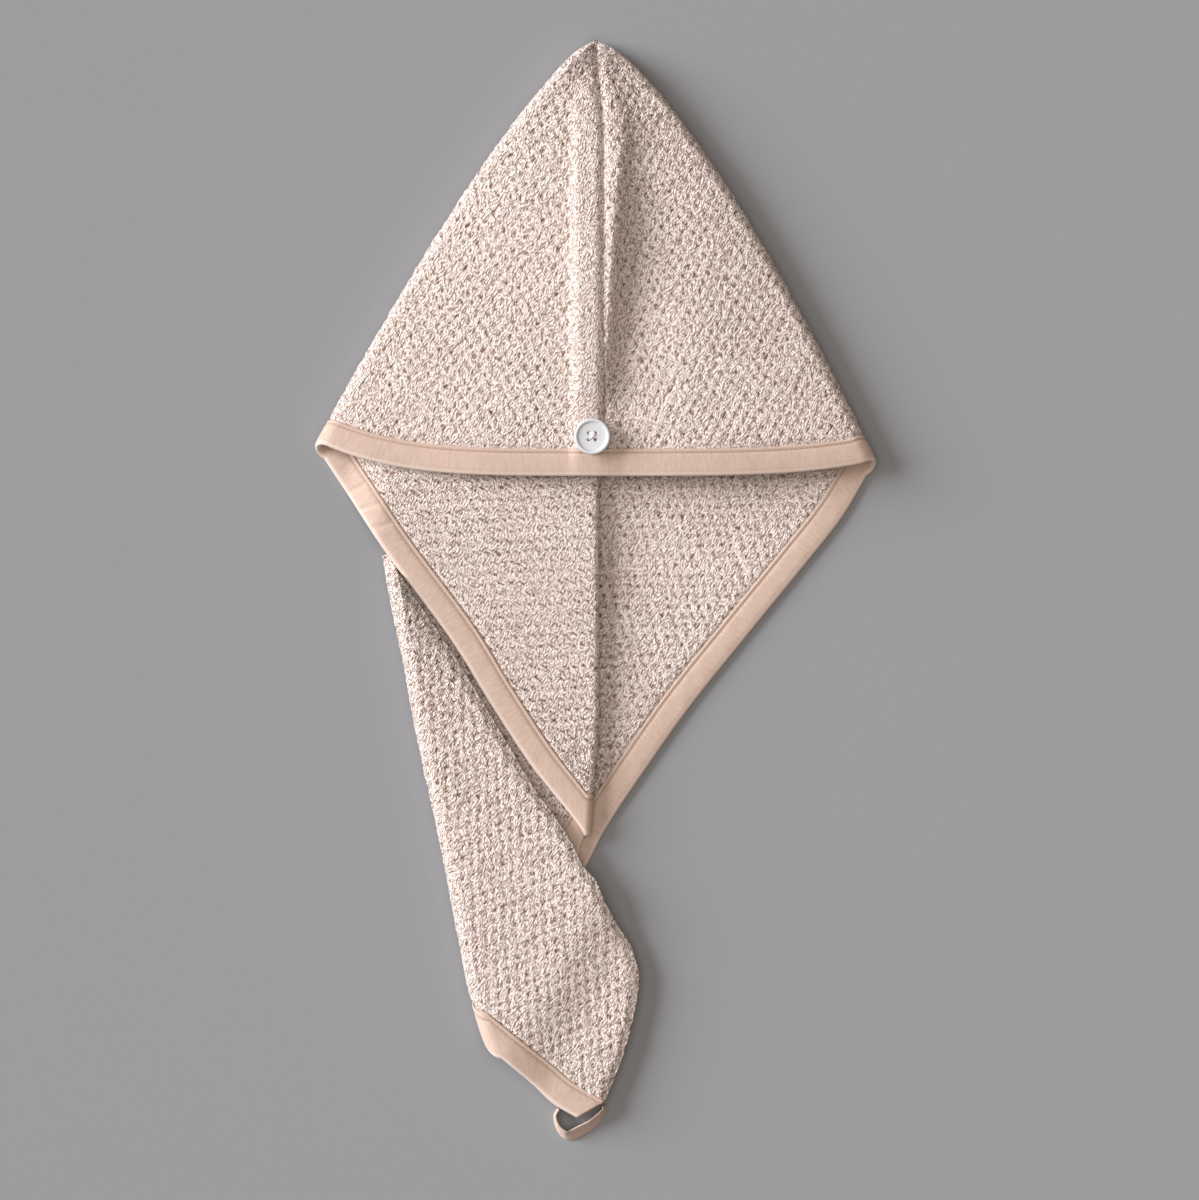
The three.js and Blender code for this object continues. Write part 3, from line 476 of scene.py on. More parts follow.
def panel(sheet, side):
    """A top panel and its side fold."""
    shares = np.linspace(0, 1, WIDE_COLUMNS + 1) ** 0.9
    down_shares = rows_between(PEAK_SHARE, 1, FINE / CORNER[side])
    share, down_share = np.meshgrid(shares, down_shares)
    across, down, height = top_point(side, share, down_share)
    full = (past_tape((1 - down_share) * CORNER[side]) * seam_fullness(np.abs(across - nape_seam(down)))
            * smooth(down / PEAK_LENGTH))
    height = height - 1.5 * np.exp(-(((across - nape_seam(down)) / 2.6) ** 2))
    sheet.add(across, down, height, GRAIN["top_" + side], full, side == "left")
    lower = CORNER[side] * down_shares
    angle, low_down = half_turn(SIDE_STEPS, lower)
    high = (across[:, :1], down[:, :1], height[:, :1])
    low = (side_tangent(side, low_down), low_down, at_peak(LEVELS[0], low_down))
    skew = FOLD_SKEW * low_down / CORNER_DOWN[side]
    sheet.add(*fold_points(low, high, OUTWARDS[side] * side_reach(side, low_down), angle, skew),
              GRAIN["top_" + side], full[:, :1], side == "left")
    return lower


def span_rows(left, right, columns):
    """A grid with each row running from one place to another."""
    share = np.linspace(0, 1, columns + 1)[None, :]
    return mix(left[:, None], right[:, None], share)


def level_rows(left, right, downs, columns):
    """The places across and down of a layer's rows."""
    return span_rows(left, right, columns), np.repeat(downs[:, None], columns + 1, axis=1)


def layer_left(down):
    """The left end of the keel and the base: the spine, then the tail fold."""
    return mix(spine(down), tail_tangent(down), smooth((down - TAIL_START + 12) / 12))


def tail_rows(lower):
    """Rows of a tail layer that go with the rows of the layer under it, then run along the tail's rim."""
    bend = mix(lower[0], OVER, (lower - lower[0]) / (UNDER - lower[0]))
    end = rows_between(OVER, TAIL_CORNER[1])[1:]
    left_down = np.concatenate([bend, end])
    left = np.concatenate([tail_tangent(bend), tail_rim(end)])
    right_down = np.concatenate([
        bend[0] + (bend - bend[0]) * (TAIL_RIGHT - bend[0]) / (OVER - bend[0]),
        mix(TAIL_RIGHT, TAIL_END, (end - OVER) / (TAIL_CORNER[1] - OVER)),
    ])
    return bend, left, left_down, np.maximum(tail_edge(right_down), left - 0.5), right_down


def tail_layer(sheet, lower, level, lower_level, reach, columns, flip):
    bend, left, left_down, right, right_down = tail_rows(lower)
    across = span_rows(left, right, columns)
    down = span_rows(left_down, right_down, columns)
    middle = (LEVELS[2] + LEVELS[3]) / 2
    to_edge = np.abs(right[:, None] - across)
    together = mix(0.75, 0, smooth(to_edge / 7))
    rise = smooth((down - TAIL_START) / TAIL_RISE)
    height = mix(lower_level, mix(level, middle, together), rise) - tail_droop(across, down)
    full = rim_fullness(tail_rim, 1, across, down)
    full = np.where(down < OVER - 30, 1, full) * seam_fullness(to_edge)
    sheet.add(across, down, height, GRAIN["tail"], full, flip)
    angle, low_down = half_turn(TAIL_STEPS, lower)
    low = (tail_tangent(low_down), low_down, np.full_like(low_down, lower_level))
    rows = len(bend)
    high = (across[:rows, :1], down[:rows, :1], height[:rows, :1])
    sheet.add(*fold_points(low, high, -reach, angle), GRAIN["tail"], full[:rows, :1], flip)


def left_half():
    sheet = Sheet()
    hood = panel(sheet, "left")
    front = rows_on(hood, TAIL_TOP, TIP)
    left = np.where(front <= CORNER["left"], side_tangent("left", front), left_rim(front))
    # Under the hood, up to 14 rows short of the corner, the front is out of sight.
    hidden = len(hood) - 14
    for first, last, columns in ((0, hidden, NARROW_COLUMNS), (hidden - 1, len(front), WIDE_COLUMNS)):
        rows = front[first:last]
        across, down = level_rows(left[first:last], crease_tangent(rows), rows, columns)
        sheet.add(across, down, at_peak(front_level(across, down), down), GRAIN["front"],
                  rim_fullness(left_rim, 1, across, down), False)
    keel = rows_on(front, UNDER)
    keel_left = layer_left(keel)
    keel_right = np.where(keel <= TIP, crease_tangent(keel), keel_rim(keel))
    across, down = level_rows(keel_left, keel_right, keel, KEEL_COLUMNS)
    sheet.add(across, down, at_peak(LEVELS[1], down), GRAIN["keel"],
              rim_fullness(keel_rim, -1, across, down), True)
    angle, fold_down = half_turn(CREASE_STEPS, front)
    crease = crease_tangent(fold_down)
    low = (crease, fold_down, at_peak(LEVELS[1], fold_down))
    high = (crease, fold_down, at_peak(front_level(crease, fold_down), fold_down))
    sheet.add(*fold_points(low, high, INNER_REACH, angle), GRAIN["front"],
              rim_fullness(left_rim, 1, crease, fold_down), True)
    lower = keel[keel >= TAIL_START]
    tail_layer(sheet, lower, LEVELS[2], LEVELS[1], INNER_REACH, 30, False)
    return sheet


def right_half():
    sheet = Sheet()
    hood = panel(sheet, "right")
    base = rows_on(hood, TAIL_TOP, UNDER)
    left = layer_left(base)
    right = np.where(base <= CORNER["right"], side_tangent("right", base), right_rim(base))
    middle = np.clip(crease_tangent(base) - 6, left, right)
    for start, end, columns in ((left, middle, 20), (middle, right, WIDE_COLUMNS)):
        across, down = level_rows(start, end, base, columns)
        sheet.add(across, down, at_peak(LEVELS[0], down), GRAIN["base"],
                  rim_fullness(right_rim, -1, across, down), False)
    lower = base[base >= TAIL_START]
    tail_layer(sheet, lower, LEVELS[3], LEVELS[0], OUTER_REACH, 96, True)
    return sheet


left_cloth = left_half().solid("left_cloth")
right_cloth = right_half().solid("right_cloth")


def rim_frame(rim, side, down):
    """The direction into the cloth at a rim, and the one along it, downwards, across and down."""
    slope = rim(down + 0.5) - rim(down - 0.5)
    length = np.hypot(1, slope)
    return (side / length, -side * slope / length), (slope / length, 1 / length)


def fold_places(rim, side, tangent, low, high):
    """Where each depth of the tape meets a fold, across and down."""
    def gap(depth):
        return lambda down: (rim(down) + side * depth * np.hypot(1, rim(down + 0.5) - rim(down - 0.5))
                             - tangent(down))
    downs = np.array([meet(gap(depth), low, high) for depth in DEPTHS[0]])
    return tangent(downs), downs


def flat_band(rim, side, level, start, end, first, last):
    """The tape's band along a rim: for each station and depth, a place on the cloth's middle surface. first
    and last are its two ends, as places across and down for each depth."""
    downs = rows_between(start, end, TAPE_STEP)[:, None]
    slide = 0
    for place, (across, down) in ((start, first), (end, last)):
        _, along = rim_frame(rim, side, place)
        shift = ((across[0] - rim(place)) * along[0] + (down[0] - place) * along[1]) * along[1]
        blend = max(3 * abs(shift), 8.0)
        slide = slide + shift / TAPE_WIDTH * (1 - smooth(np.abs(downs - place) / blend))
    slid = downs + slide * DEPTHS
    inward, _ = rim_frame(rim, side, slid)
    band = np.stack([rim(slid) + inward[0] * DEPTHS, slid + inward[1] * DEPTHS], axis=-1)
    for row, (place, target) in ((0, (start, first)), (-1, (end, last))):
        miss = np.stack(target, axis=-1) - band[row]
        band = band + miss * (1 - smooth(np.abs(downs - place) / 25))[..., None]
    return np.dstack([band, level(band[..., 0], band[..., 1])])


def bend_band(low, high, reach, first, last, steps, skew=0.0):
    """The tape's band round a fold, from its foot, low, to its top, high, or back."""
    angle = np.linspace(first, last, steps)[:, None]
    return np.stack(np.broadcast_arrays(*fold_points(low, high, reach, angle, skew)), axis=-1)


def top_band(side):
    share = np.linspace(1, 0, 210)[:, None]
    return np.stack(np.broadcast_arrays(*top_point(side, share, 1.0, DEPTHS)), axis=-1)


def side_band(side, low_down):
    low = (side_tangent(side, low_down), low_down, LEVELS[0])
    return bend_band(low, top_point(side, 0.0, 1.0, DEPTHS[0]), OUTWARDS[side] * side_reach(side, low_down),
                     pi / 2, -pi / 2, 28, FOLD_SKEW * low_down / CORNER_DOWN[side])


def tail_bands(side, under):
    """The tape round the tail fold and along the tail's end."""
    lower, level, reach = ((LEVELS[1], LEVELS[2], INNER_REACH) if side == "left"
                           else (LEVELS[0], LEVELS[3], OUTER_REACH))

    def height(across, down):
        return level - tail_droop(across, down)

    over = fold_places(tail_rim, 1, tail_tangent, OVER - 60, TAIL_CORNER[1])
    share = DEPTHS[0] / TAPE_WIDTH
    end = (mix(TAIL_CORNER[0], tail_edge(TAIL_END), share), mix(TAIL_CORNER[1], TAIL_END, share))
    return [bend_band((*under, lower), (*over, height(*over)), -reach, -pi / 2, pi / 2, 20),
            flat_band(tail_rim, 1, height, OVER, TAIL_CORNER[1], over, end)]


def rim_bands(side):
    """The whole rim of one half, from the nape seam to the tail's corner."""
    rim, inside = (left_rim, 1) if side == "left" else (right_rim, -1)

    corner = fold_places(rim, inside, lambda down: side_tangent(side, down), CORNER[side] - 60,
                         CORNER[side] + 40)
    under = fold_places(right_rim, -1, tail_tangent, UNDER - 60, UNDER + 20)
    bands = [top_band(side), side_band(side, corner[1])]
    if side == "left":
        tip = fold_places(left_rim, 1, crease_tangent, TIP - 80, TIP + 20)
        bands += [
            flat_band(left_rim, 1, front_level, CORNER[side], TIP, corner, tip),
            bend_band((*tip, LEVELS[1]), (*tip, LEVELS[2]), INNER_REACH, pi / 2, -pi / 2, 14),
            flat_band(keel_rim, -1, lambda x, y: LEVELS[1] + 0 * x, TIP, UNDER, tip, under),
        ]
    else:
        bands.append(flat_band(right_rim, -1, lambda x, y: LEVELS[0] + 0 * x, CORNER[side], UNDER, corner,
                               under))
    return np.concatenate(bands + tail_bands(side, under))


def lengths_along(line):
    """How far along a line each of its places is."""
    return np.concatenate([[0], np.cumsum(np.linalg.norm(np.diff(line, axis=0), axis=1))])


def even_stations(band, step):
    """The band's stations, spaced evenly along its rim."""
    lengths = lengths_along(band[:, -1])
    keep = np.concatenate([[True], np.diff(lengths) > 1e-4])
    places = np.linspace(0, lengths[-1], int(lengths[-1] / step) + 1)
    flat = band[keep].reshape(keep.sum(), -1)
    even = np.stack([np.interp(places, lengths[keep], flat[:, k]) for k in range(flat.shape[1])], axis=-1)
    return even.reshape(len(places), *band.shape[1:]), places


def skin(points):
    """Point numbers of a closed section's rows, and its sides' triangles."""
    rows, columns = points.shape[:2]
    index = np.arange(rows * columns).reshape(rows, columns)
    after = np.roll(index, -1, axis=1)
    quads = np.stack([index[:-1], after[:-1], after[1:], index[1:]], axis=-1).reshape(-1, 4)
    return index, [quads[:, [0, 1, 2]], quads[:, [0, 2, 3]]]


def tape_uv(places, depths):
    """The place along the tape and off its rim, for each point of its rows."""
    return np.stack(np.broadcast_arrays(places[:, None], np.array(depths)[None, :]), axis=-1).reshape(-1, 2)


def tape_lifts(band, places):
    """How far the tape's outer and inner faces stand off the cloth's middle surface."""
    ripple = unevenness(places, 0 * places, 23)[:, None]
    crest = smooth((12 - DEPTHS) / 4) * smooth(DEPTHS / 5)
    dimples = 0.16 * np.cos(2 * pi * places[:, None] / STITCH_PITCH)
    dimples = dimples * np.exp(-((DEPTHS - STITCH_DEPTH) / 1.0) ** 2)
    lifts = {sign: LIFTS + 0.18 * ripple * sign * crest + dimples for sign in (1, -1)}
    for across, down in PUCKERS:
        away = np.hypot(band[:, MIDDLE_COLUMN, 0] - across, band[:, MIDDLE_COLUMN, 1] + down)
        pucker = np.exp(-(((places - places[np.argmin(away)])[:, None] - 0.25 * DEPTHS) / 1.8) ** 2)
        lifts[-1] = lifts[-1] - 0.5 * pucker * smooth((TAPE_WIDTH - DEPTHS) / 5)
    return lifts


def binding_geometry():
    """The tape as one closed mesh, and the two lines of its stitches."""
    whole = np.concatenate([rim_bands("right")[::-1], rim_bands("left")[1:]])
    whole[..., 1] *= -1
    band, places = even_stations(whole, TAPE_STEP)
    along = np.gradient(band, axis=0)
    inward = np.gradient(band, axis=1) * -1
    normal = unit(np.cross(along, inward))
    normal *= np.sign(normal[len(normal) // 2, MIDDLE_COLUMN, 2])
    into = unit(band[:, 0] - band[:, -1])
    lifts = tape_lifts(band, places)

    def face(columns, sign, lift):
        """The tape's section on one side of the cloth, with each point's depth."""
        return [(band[:, k] + sign * normal[:, k] * lift(k), PROFILE[k][0]) for k in columns]

    outer = range(len(PROFILE))
    inner = range(0, len(PROFILE), 3)
    section = face(outer, 1, lambda k: lifts[1][:, k:k + 1])
    section += [(band[:, -1] + into * reach + normal[:, -1] * lift, reach)
                for reach, lift in NOSE + [(r, -l) for r, l in NOSE[-2::-1]]]
    section += face(reversed(outer), -1, lambda k: lifts[-1][:, k:k + 1])
    section += face(inner, -1, lambda k: TAPE_INSIDE)
    section.append((band[:, -1] - into * 0.35, 0))
    section += face(reversed(inner), 1, lambda k: TAPE_INSIDE)
    points = np.stack([line for line, depth in section], axis=1)
    uv = tape_uv(places, [depth for line, depth in section])
    index, sides = skin(points)
    rows, columns = index.shape
    caps = []
    for row, turn in ((0, -1), (rows - 1, 1)):
        half = columns // 2
        for k in range(1, half):
            a, b, c, d = (index[row, j % columns] for j in (k - 1, k, columns - k, columns - k + 1))
            caps += [(a, b, c)[::turn], (a, c, d)[::turn]]
    triangles = np.concatenate([*sides, np.array(caps)])
    groove = [depth for depth, lift in PROFILE].index(STITCH_DEPTH)
    lines = [band[:, groove] + sign * normal[:, groove] * (LIFTS[groove] + 0.1) for sign in (1, -1)]
    points = points.reshape(-1, 3)
    a, b, c = points[triangles.T]
    if np.einsum("ij,ij->", a, np.cross(b, c)) < 0:
        triangles = triangles[:, ::-1]
    return points, triangles, uv, lines, places


def add_tube(vertices, faces, rings, sides):
    """Add a closed tube to a mesh's lists. Each ring is its middle and its two half-axes."""
    first = len(vertices)
    for middle, across, up in rings:
        for turn in range(sides):
            angle = 2 * pi * turn / sides
            vertices.append(middle + across * cos(angle) + up * sin(angle))
    last = len(vertices) - sides
    for ring in range(first, last, sides):
        for turn in range(sides):
            a, b = ring + turn, ring + (turn + 1) % sides
            faces += [(a, b, b + sides), (a, b + sides, a + sides)]
    for turn in range(1, sides - 1):
        faces += [(first, first + turn + 1, first + turn), (last, last + turn, last + turn + 1)]


def stitch_geometry(line, places):
    """Stitches as short tapered threads along a line."""
    vertices, faces = [], []
    shape = [(-0.5, 0.25), (-0.3, 0.9), (0.0, 1.0), (0.3, 0.9), (0.5, 0.25)]
    for start in np.arange(STITCH_PITCH / 2, places[-1] - STITCH_PITCH / 2, STITCH_PITCH):
        middle, ahead = (np.array([np.interp(start + offset, places, line[:, k]) for k in range(3)])
                         for offset in (0, 0.5))
        direction = unit(ahead - middle)
        across = unit(np.cross(direction, [0.13, 0.21, 0.97]))
        up = np.cross(across, direction)
        add_tube(vertices, faces, [(middle + direction * share * STITCH_LENGTH,
                                    across * STITCH_RADIUS * width, up * STITCH_RADIUS * width)
                                   for share, width in shape], 6)
    return np.array(vertices), np.array(faces)


tape_points, tape_faces, tape_places, stitch_lines, stitch_places = binding_geometry()
binding = mesh_object("binding", tape_points, tape_faces, tape_places[tape_faces].reshape(-1, 2) / 100)
stitches = [mesh_object(name, *stitch_geometry(line, stitch_places))
            for name, line in zip(("stitches_over", "stitches_under"), stitch_lines)]


def curve_through(points, count):
    """A smooth curve through points, with its directions."""
    points = np.asarray(points, float)
    ends = [2 * points[0] - points[1], *points, 2 * points[-1] - points[-2]]
    places = []
    for k in range(1, len(ends) - 2):
        p0, p1, p2, p3 = ends[k - 1:k + 3]
        t = np.linspace(0, 1, count, endpoint=k == len(ends) - 3)[:, None]
        places.append(0.5 * (2 * p1 + (p2 - p0) * t + (2 * p0 - 5 * p1 + 4 * p2 - p3) * t**2
                             + (3 * p1 - p0 - 3 * p2 + p3) * t**3))
    places = np.concatenate(places)
    return places, unit(np.gradient(places, axis=0))


def loop_geometry():
    """The hanging loop: a tape that stands on its edge and tips inwards at the front."""
    rows = np.array(LOOP_TABLE)
    route = np.stack([TAIL_CORNER[0] + LOOP_REACH * rows[:, 0],
                      -TAIL_CORNER[1] - LOOP_DROP * rows[:, 1], rows[:, 2] * 0], axis=-1)
    places, directions = curve_through(route, 14)
    lean = np.interp(np.linspace(0, len(rows) - 1, len(places)), np.arange(len(rows)), rows[:, 2])
    lean = np.convolve(np.pad(lean, 6, "edge"), np.ones(13) / 13, "valid")[:, None]
    rise = np.sqrt(1 - lean**2)
    inward = np.stack([-directions[:, 1], directions[:, 0], 0 * directions[:, 0]], axis=-1)
    up = np.array([0, 0, 1.0])
    width = inward * lean + up * rise
    face = inward * rise - up * lean
    half = LOOP_THICKNESS / 2
    base = places + up * (0.05 + lean * half)
    section = [(0, 0.6), (0.03, 1), (0.12, 1.15), (0.25, 0.95), (0.5, 0.85), (0.75, 0.95), (0.88, 1.15),
               (0.97, 1), (1, 0.6)]
    section = section + [(share, -lift) for share, lift in reversed(section)]
    points = np.stack([base + width * share * LOOP_WIDTH + face * lift * half
                       for share, lift in section], axis=1)
    uv = tape_uv(lengths_along(places), [share * LOOP_WIDTH for share, lift in section])
    index, triangles = skin(points)
    rows, columns = index.shape
    for row, turn in ((0, 1), (rows - 1, -1)):
        fan = [(k - 1, k, columns - 1 - k) for k in range(1, columns // 2)]
        fan += [(k - 1, columns - 1 - k, columns - k) for k in range(1, columns // 2)]
        triangles.append(index[row][np.array(fan)][:, ::turn])
    triangles = np.concatenate(triangles)
    return points.reshape(-1, 3), triangles, uv[triangles].reshape(-1, 2) / 100


loop = mesh_object("loop_tape", *loop_geometry())


button_middle = np.mean(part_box("button"), axis=0)


def button_object():
    """The button: dished inside a raised rim, with four holes."""
    outline = [(0, -1), (0.6, -1), (0.74, -0.96), (0.93, -0.5), (1, -0.02), (1, 0.35), (0.985, 0.7),
               (0.95, 0.94), (0.9, 1), (0.85, 0.93), (0.81, 0.7), (0.77, 0.5), (0.7, 0.42), (0.4, 0.38),
               (0, 0.36)]
    count = 96
    vertices, faces = [], []
    for out, up in outline:
        for k in range(count):
            angle = 2 * pi * k / count
            vertices.append((out * BUTTON_RADIUS * cos(angle), out * BUTTON_RADIUS * sin(angle),
                             up * BUTTON_THICKNESS / 2))
    for ring in range(len(outline) - 1):
        for k in range(count):
            a, b = ring * count + k, ring * count + (k + 1) % count
            faces.append((a, b, b + count, a + count))
    mesh = plain_mesh("button_face", vertices, faces)
    work = bmesh.new()
    work.from_mesh(mesh)
    bmesh.ops.remove_doubles(work, verts=work.verts, dist=1e-6)
    bmesh.ops.recalc_face_normals(work, faces=work.faces)
    work.to_mesh(mesh)
    work.free()
    mesh.shade_smooth()
    obj = add_object("button_face", mesh)
    obj.location = button_middle
    for x, y in SQUARE:
        turns = [pi * k / 12 for k in range(24)]
        hole = [(x * HOLE_OFFSET + HOLE_RADIUS * cos(turn),
                 y * HOLE_OFFSET + HOLE_RADIUS * sin(turn), z) for z in (-4, 4) for turn in turns]
        hole_faces = [(k, (k + 1) % 24, 24 + (k + 1) % 24, 24 + k) for k in range(24)]
        hole_faces += [tuple(reversed(range(24))), tuple(range(24, 48))]
        cutter = add_object("hole", plain_mesh("hole", hole, hole_faces))
        cutter.location = obj.location
        modifier = obj.modifiers.new("hole", "BOOLEAN")
        modifier.object = cutter
        modifier.solver = "EXACT"
    bpy.context.view_layer.update()
    evaluated = obj.evaluated_get(bpy.context.evaluated_depsgraph_get())
    finished = bpy.data.meshes.new_from_object(evaluated)
    obj.modifiers.clear()
    obj.data = finished
    for hole in [o for o in bpy.data.objects if o.name.startswith("hole")]:
        bpy.data.objects.remove(hole)
    return obj


button = button_object()


def thread_geometry():
    """The button's thread: strands that cross from hole to hole."""
    middle = button_middle * 1000 - np.array(PEAK)
    vertices, faces = [], []
    for start, end in (((-1, 1), (1, 1)), ((-1, -1), (1, 1)), ((-0.9, 0.86), (1.1, 0.86))):
        start, end = (np.array([*hole, 0]) * HOLE_OFFSET for hole in (start, end))
        heights = [(0, -1.0), (0.02, 0.3), (0.2, 1.0), (0.5, 1.2), (0.8, 1.0), (0.98, 0.3), (1, -1.0)]
        route = [middle + mix(start, end, share) + np.array([0, 0, height]) for share, height in heights]
        side = unit(np.cross(end - start, [0, 0, 1.0]))
        add_tube(vertices, faces, [(place, 0.33 * side, 0.33 * np.cross(side, direction))
                                   for place, direction in zip(*curve_through(route, 5))], 8)
    return np.array(vertices), np.array(faces)


button_thread = mesh_object("button_thread", *thread_geometry())


# Materials.
def node_material(name, roughness, sheen=0.0):
    material = bpy.data.materials.new(name)
    material.use_nodes = True
    tree = material.node_tree
    shader = tree.nodes["Principled BSDF"]
    shader.inputs["Roughness"].default_value = roughness
    shader.inputs["Sheen Weight"].default_value = sheen
    shader.inputs["Sheen Roughness"].default_value = 0.6
    return material, tree, shader


def feed(tree, socket, value):
    """Set a socket to a value, or link it to another node's output."""
    if isinstance(value, bpy.types.NodeSocket):
        tree.links.new(value, socket)
    else:
        socket.default_value = value


def add_node(tree, kind, **values):
    """A node, with its settings and its inputs by name."""
    node = tree.nodes.new(kind)
    for key, value in values.items():
        if hasattr(node, key):
            setattr(node, key, value)
        else:
            feed(tree, node.inputs[key], value)
    return node


def math_node(tree, operation, *values):
    node = add_node(tree, "ShaderNodeMath", operation=operation)
    for socket, value in zip(node.inputs, values):
        feed(tree, socket, value)
    return node.outputs[0]


def plus(tree, first, second):
    return math_node(tree, "ADD", first, second)


def minus(tree, first, second):
    return math_node(tree, "SUBTRACT", first, second)


def times(tree, first, second):
    return math_node(tree, "MULTIPLY", first, second)


def object_place(tree):
    return add_node(tree, "ShaderNodeTexCoord").outputs["Object"]


def grain_place(tree):
    """The place along and off the rim, and its two parts."""
    place = add_node(tree, "ShaderNodeUVMap", uv_map="grain").outputs[0]
    return place, add_node(tree, "ShaderNodeSeparateXYZ", Vector=place).outputs


def noise(tree, place, scale, detail, roughness=0.6, **values):
    return add_node(tree, "ShaderNodeTexNoise", Vector=place, Scale=scale, Detail=detail, Roughness=roughness,
                    **values).outputs


def set_bump(tree, shader, height, strength, distance):
    bump = add_node(tree, "ShaderNodeBump", Height=height, Strength=strength, Distance=distance)
    tree.links.new(bump.outputs[0], shader.inputs["Normal"])


def ramp(tree, factor, stops):
    node = tree.nodes.new("ShaderNodeValToRGB")
    elements = node.color_ramp.elements
    while len(elements) < len(stops):
        elements.new(0.5)
    for element, (position, color) in zip(elements, stops):
        element.position = position
        element.color = color
    tree.links.new(factor, node.inputs[0])
    return node.outputs[0]


def srgb(red, green, blue):
    """A display colour, none of it near black, as linear values."""
    return (*(((c / 255 + 0.055) / 1.055) ** 2.4 for c in (red, green, blue)), 1)


def smooth_step(tree, value, low, high):
    node = add_node(tree, "ShaderNodeMapRange", interpolation_type="SMOOTHSTEP", Value=value)
    node.inputs["From Min"].default_value = low
    node.inputs["From Max"].default_value = high
    return node.outputs["Result"]


def mix_color(tree, factor, first, second, blend_type="MIX"):
    node = add_node(tree, "ShaderNodeMix", data_type="RGBA", blend_type=blend_type)
    for number, value in ((0, factor), (6, first), (7, second)):
        feed(tree, node.inputs[number], value)
    return node.outputs[2]


def terry_material():
    material, tree, shader = node_material("terry", 0.95, 0.08)
    _, grain = grain_place(tree)
    waves = [math_node(tree, "COSINE", times(tree, grain[k], 100 * pi / CELL[k])) for k in range(2)]
    pit = times(tree, minus(tree, 1.0, times(tree, *waves)), 0.5)
    position = object_place(tree)

    # Each tuft of pile is a rounded cell about 1 by 2 mm, pushed about so that no two are alike.
    push = add_node(tree, "ShaderNodeVectorMath", operation="MULTIPLY_ADD")
    for socket, value in zip(push.inputs, (noise(tree, position, 600.0, 2.0)["Color"],
                                           (0.0012, 0.0012, 0.0012), position)):
        feed(tree, socket, value)
    lay = add_node(tree, "ShaderNodeMapping", vector_type="TEXTURE", Vector=push.outputs[0],
                   Rotation=(0, 0, radians(55)), Scale=(2.0, 1, 1))
    away = add_node(tree, "ShaderNodeTexVoronoi", feature="F1", Vector=lay.outputs[0], Scale=1050.0,
                    Randomness=1.0).outputs["Distance"]
    dome = minus(tree, 1.0, times(tree, times(tree, away, away), 1.5))
    fibre = noise(tree, position, 1500.0, 3.0, Distortion=0.5)["Fac"]
    patch = noise(tree, position, 24.0, 3.0)["Fac"]
    cluster = noise(tree, position, 150.0, 2.0)["Fac"]

    # The left half of the nape ridge is stretched so that its pits close up, and there the pits' painted
    # shade lessens too.
    place = add_node(tree, "ShaderNodeSeparateXYZ", Vector=position).outputs
    ridge = times(tree, smooth_step(tree, place["X"], -0.0145, -0.0105),
                  minus(tree, 1.0, smooth_step(tree, place["X"], 0.0005, 0.006)))
    ridge = times(tree, ridge, smooth_step(tree, place["Z"], 0.016, 0.0185))
    shift = times(tree, minus(tree, cluster, 0.5), 0.8)
    uneven = plus(tree, pit, shift)
    pit_shade_and_depth = times(tree, smooth_step(tree, uneven, 0.62, 1.1), minus(tree, 1.0, times(tree, ridge, 0.8)))
    # Painted shade: the gaps between tufts, and more so the waffle's pits, take darker browns that stand in
    # for the shade in these recesses.
    gap = times(tree, smooth_step(tree, away, 0.35, 0.8), plus(tree, times(tree, pit_shade_and_depth, 0.5), 0.5))
    color = mix_color(tree, gap, srgb(255, 246, 242), srgb(160, 116, 92))
    color = mix_color(tree, times(tree, pit_shade_and_depth, 0.35), color, srgb(132, 94, 72))
    tint = ramp(tree, patch, [(0.3, srgb(255, 243, 241)), (0.7, srgb(255, 250, 242))])
    color = mix_color(tree, 0.8, color, tint, "MULTIPLY")
    feed(tree, shader.inputs["Base Color"], color)
    height = plus(tree, dome, times(tree, fibre, 0.3))
    height = minus(tree, height, times(tree, pit_shade_and_depth, 0.7))
    height = plus(tree, height, times(tree, cluster, 0.3))
    set_bump(tree, shader, height, 1.0, 0.0017)
    return material


def tape_material():
    material, tree, shader = node_material("tape", 0.85, 0.1)
    place, parts = grain_place(tree)
    stretch = add_node(tree, "ShaderNodeMapping", Vector=place, Scale=(1.0, 0.25, 1.0))
    streaks = noise(tree, stretch.outputs[0], 60.0, 4.0)["Fac"]
    grain = noise(tree, object_place(tree), 900.0, 2.0, 0.7)["Fac"]
    color = ramp(tree, streaks, [(0.3, srgb(182, 157, 143)), (0.7, srgb(197, 173, 160))])
    # Painted highlight: a lighter band along the tape's folded outer edge, where light catches it.
    fold = minus(tree, 1.0, smooth_step(tree, parts[1], 0.004, 0.014))
    color = mix_color(tree, times(tree, fold, 0.5), color, srgb(220, 202, 192))
    # Painted shade: a dark brown band along the stitch groove.
    offset = minus(tree, parts[1], STITCH_DEPTH / 100)
    groove = math_node(tree, "DIVIDE", times(tree, offset, offset), 0.0045 ** 2)
    groove = math_node(tree, "EXPONENT", times(tree, groove, -1.0))
    color = mix_color(tree, times(tree, groove, 0.55), color, srgb(134, 98, 78))
    feed(tree, shader.inputs["Base Color"], color)
    twill = add_node(tree, "ShaderNodeTexWave", wave_type="BANDS", bands_direction="DIAGONAL", Vector=place,
                     Scale=38.0).outputs["Fac"]
    height = plus(tree, times(tree, twill, 0.5), times(tree, grain, 0.8))
    set_bump(tree, shader, height, 0.35, 0.0002)
    return material


def speckled_material(name, roughness, sheen, grain, dark, light):
    """A material a little uneven in colour, by a noise of grain's scale and detail."""
    material, tree, shader = node_material(name, roughness, sheen)
    speckle = noise(tree, object_place(tree), *grain, 0.5)["Fac"]
    tree.links.new(ramp(tree, speckle, [(0.3, dark), (0.7, light)]), shader.inputs["Base Color"])
    return material, tree, shader, speckle


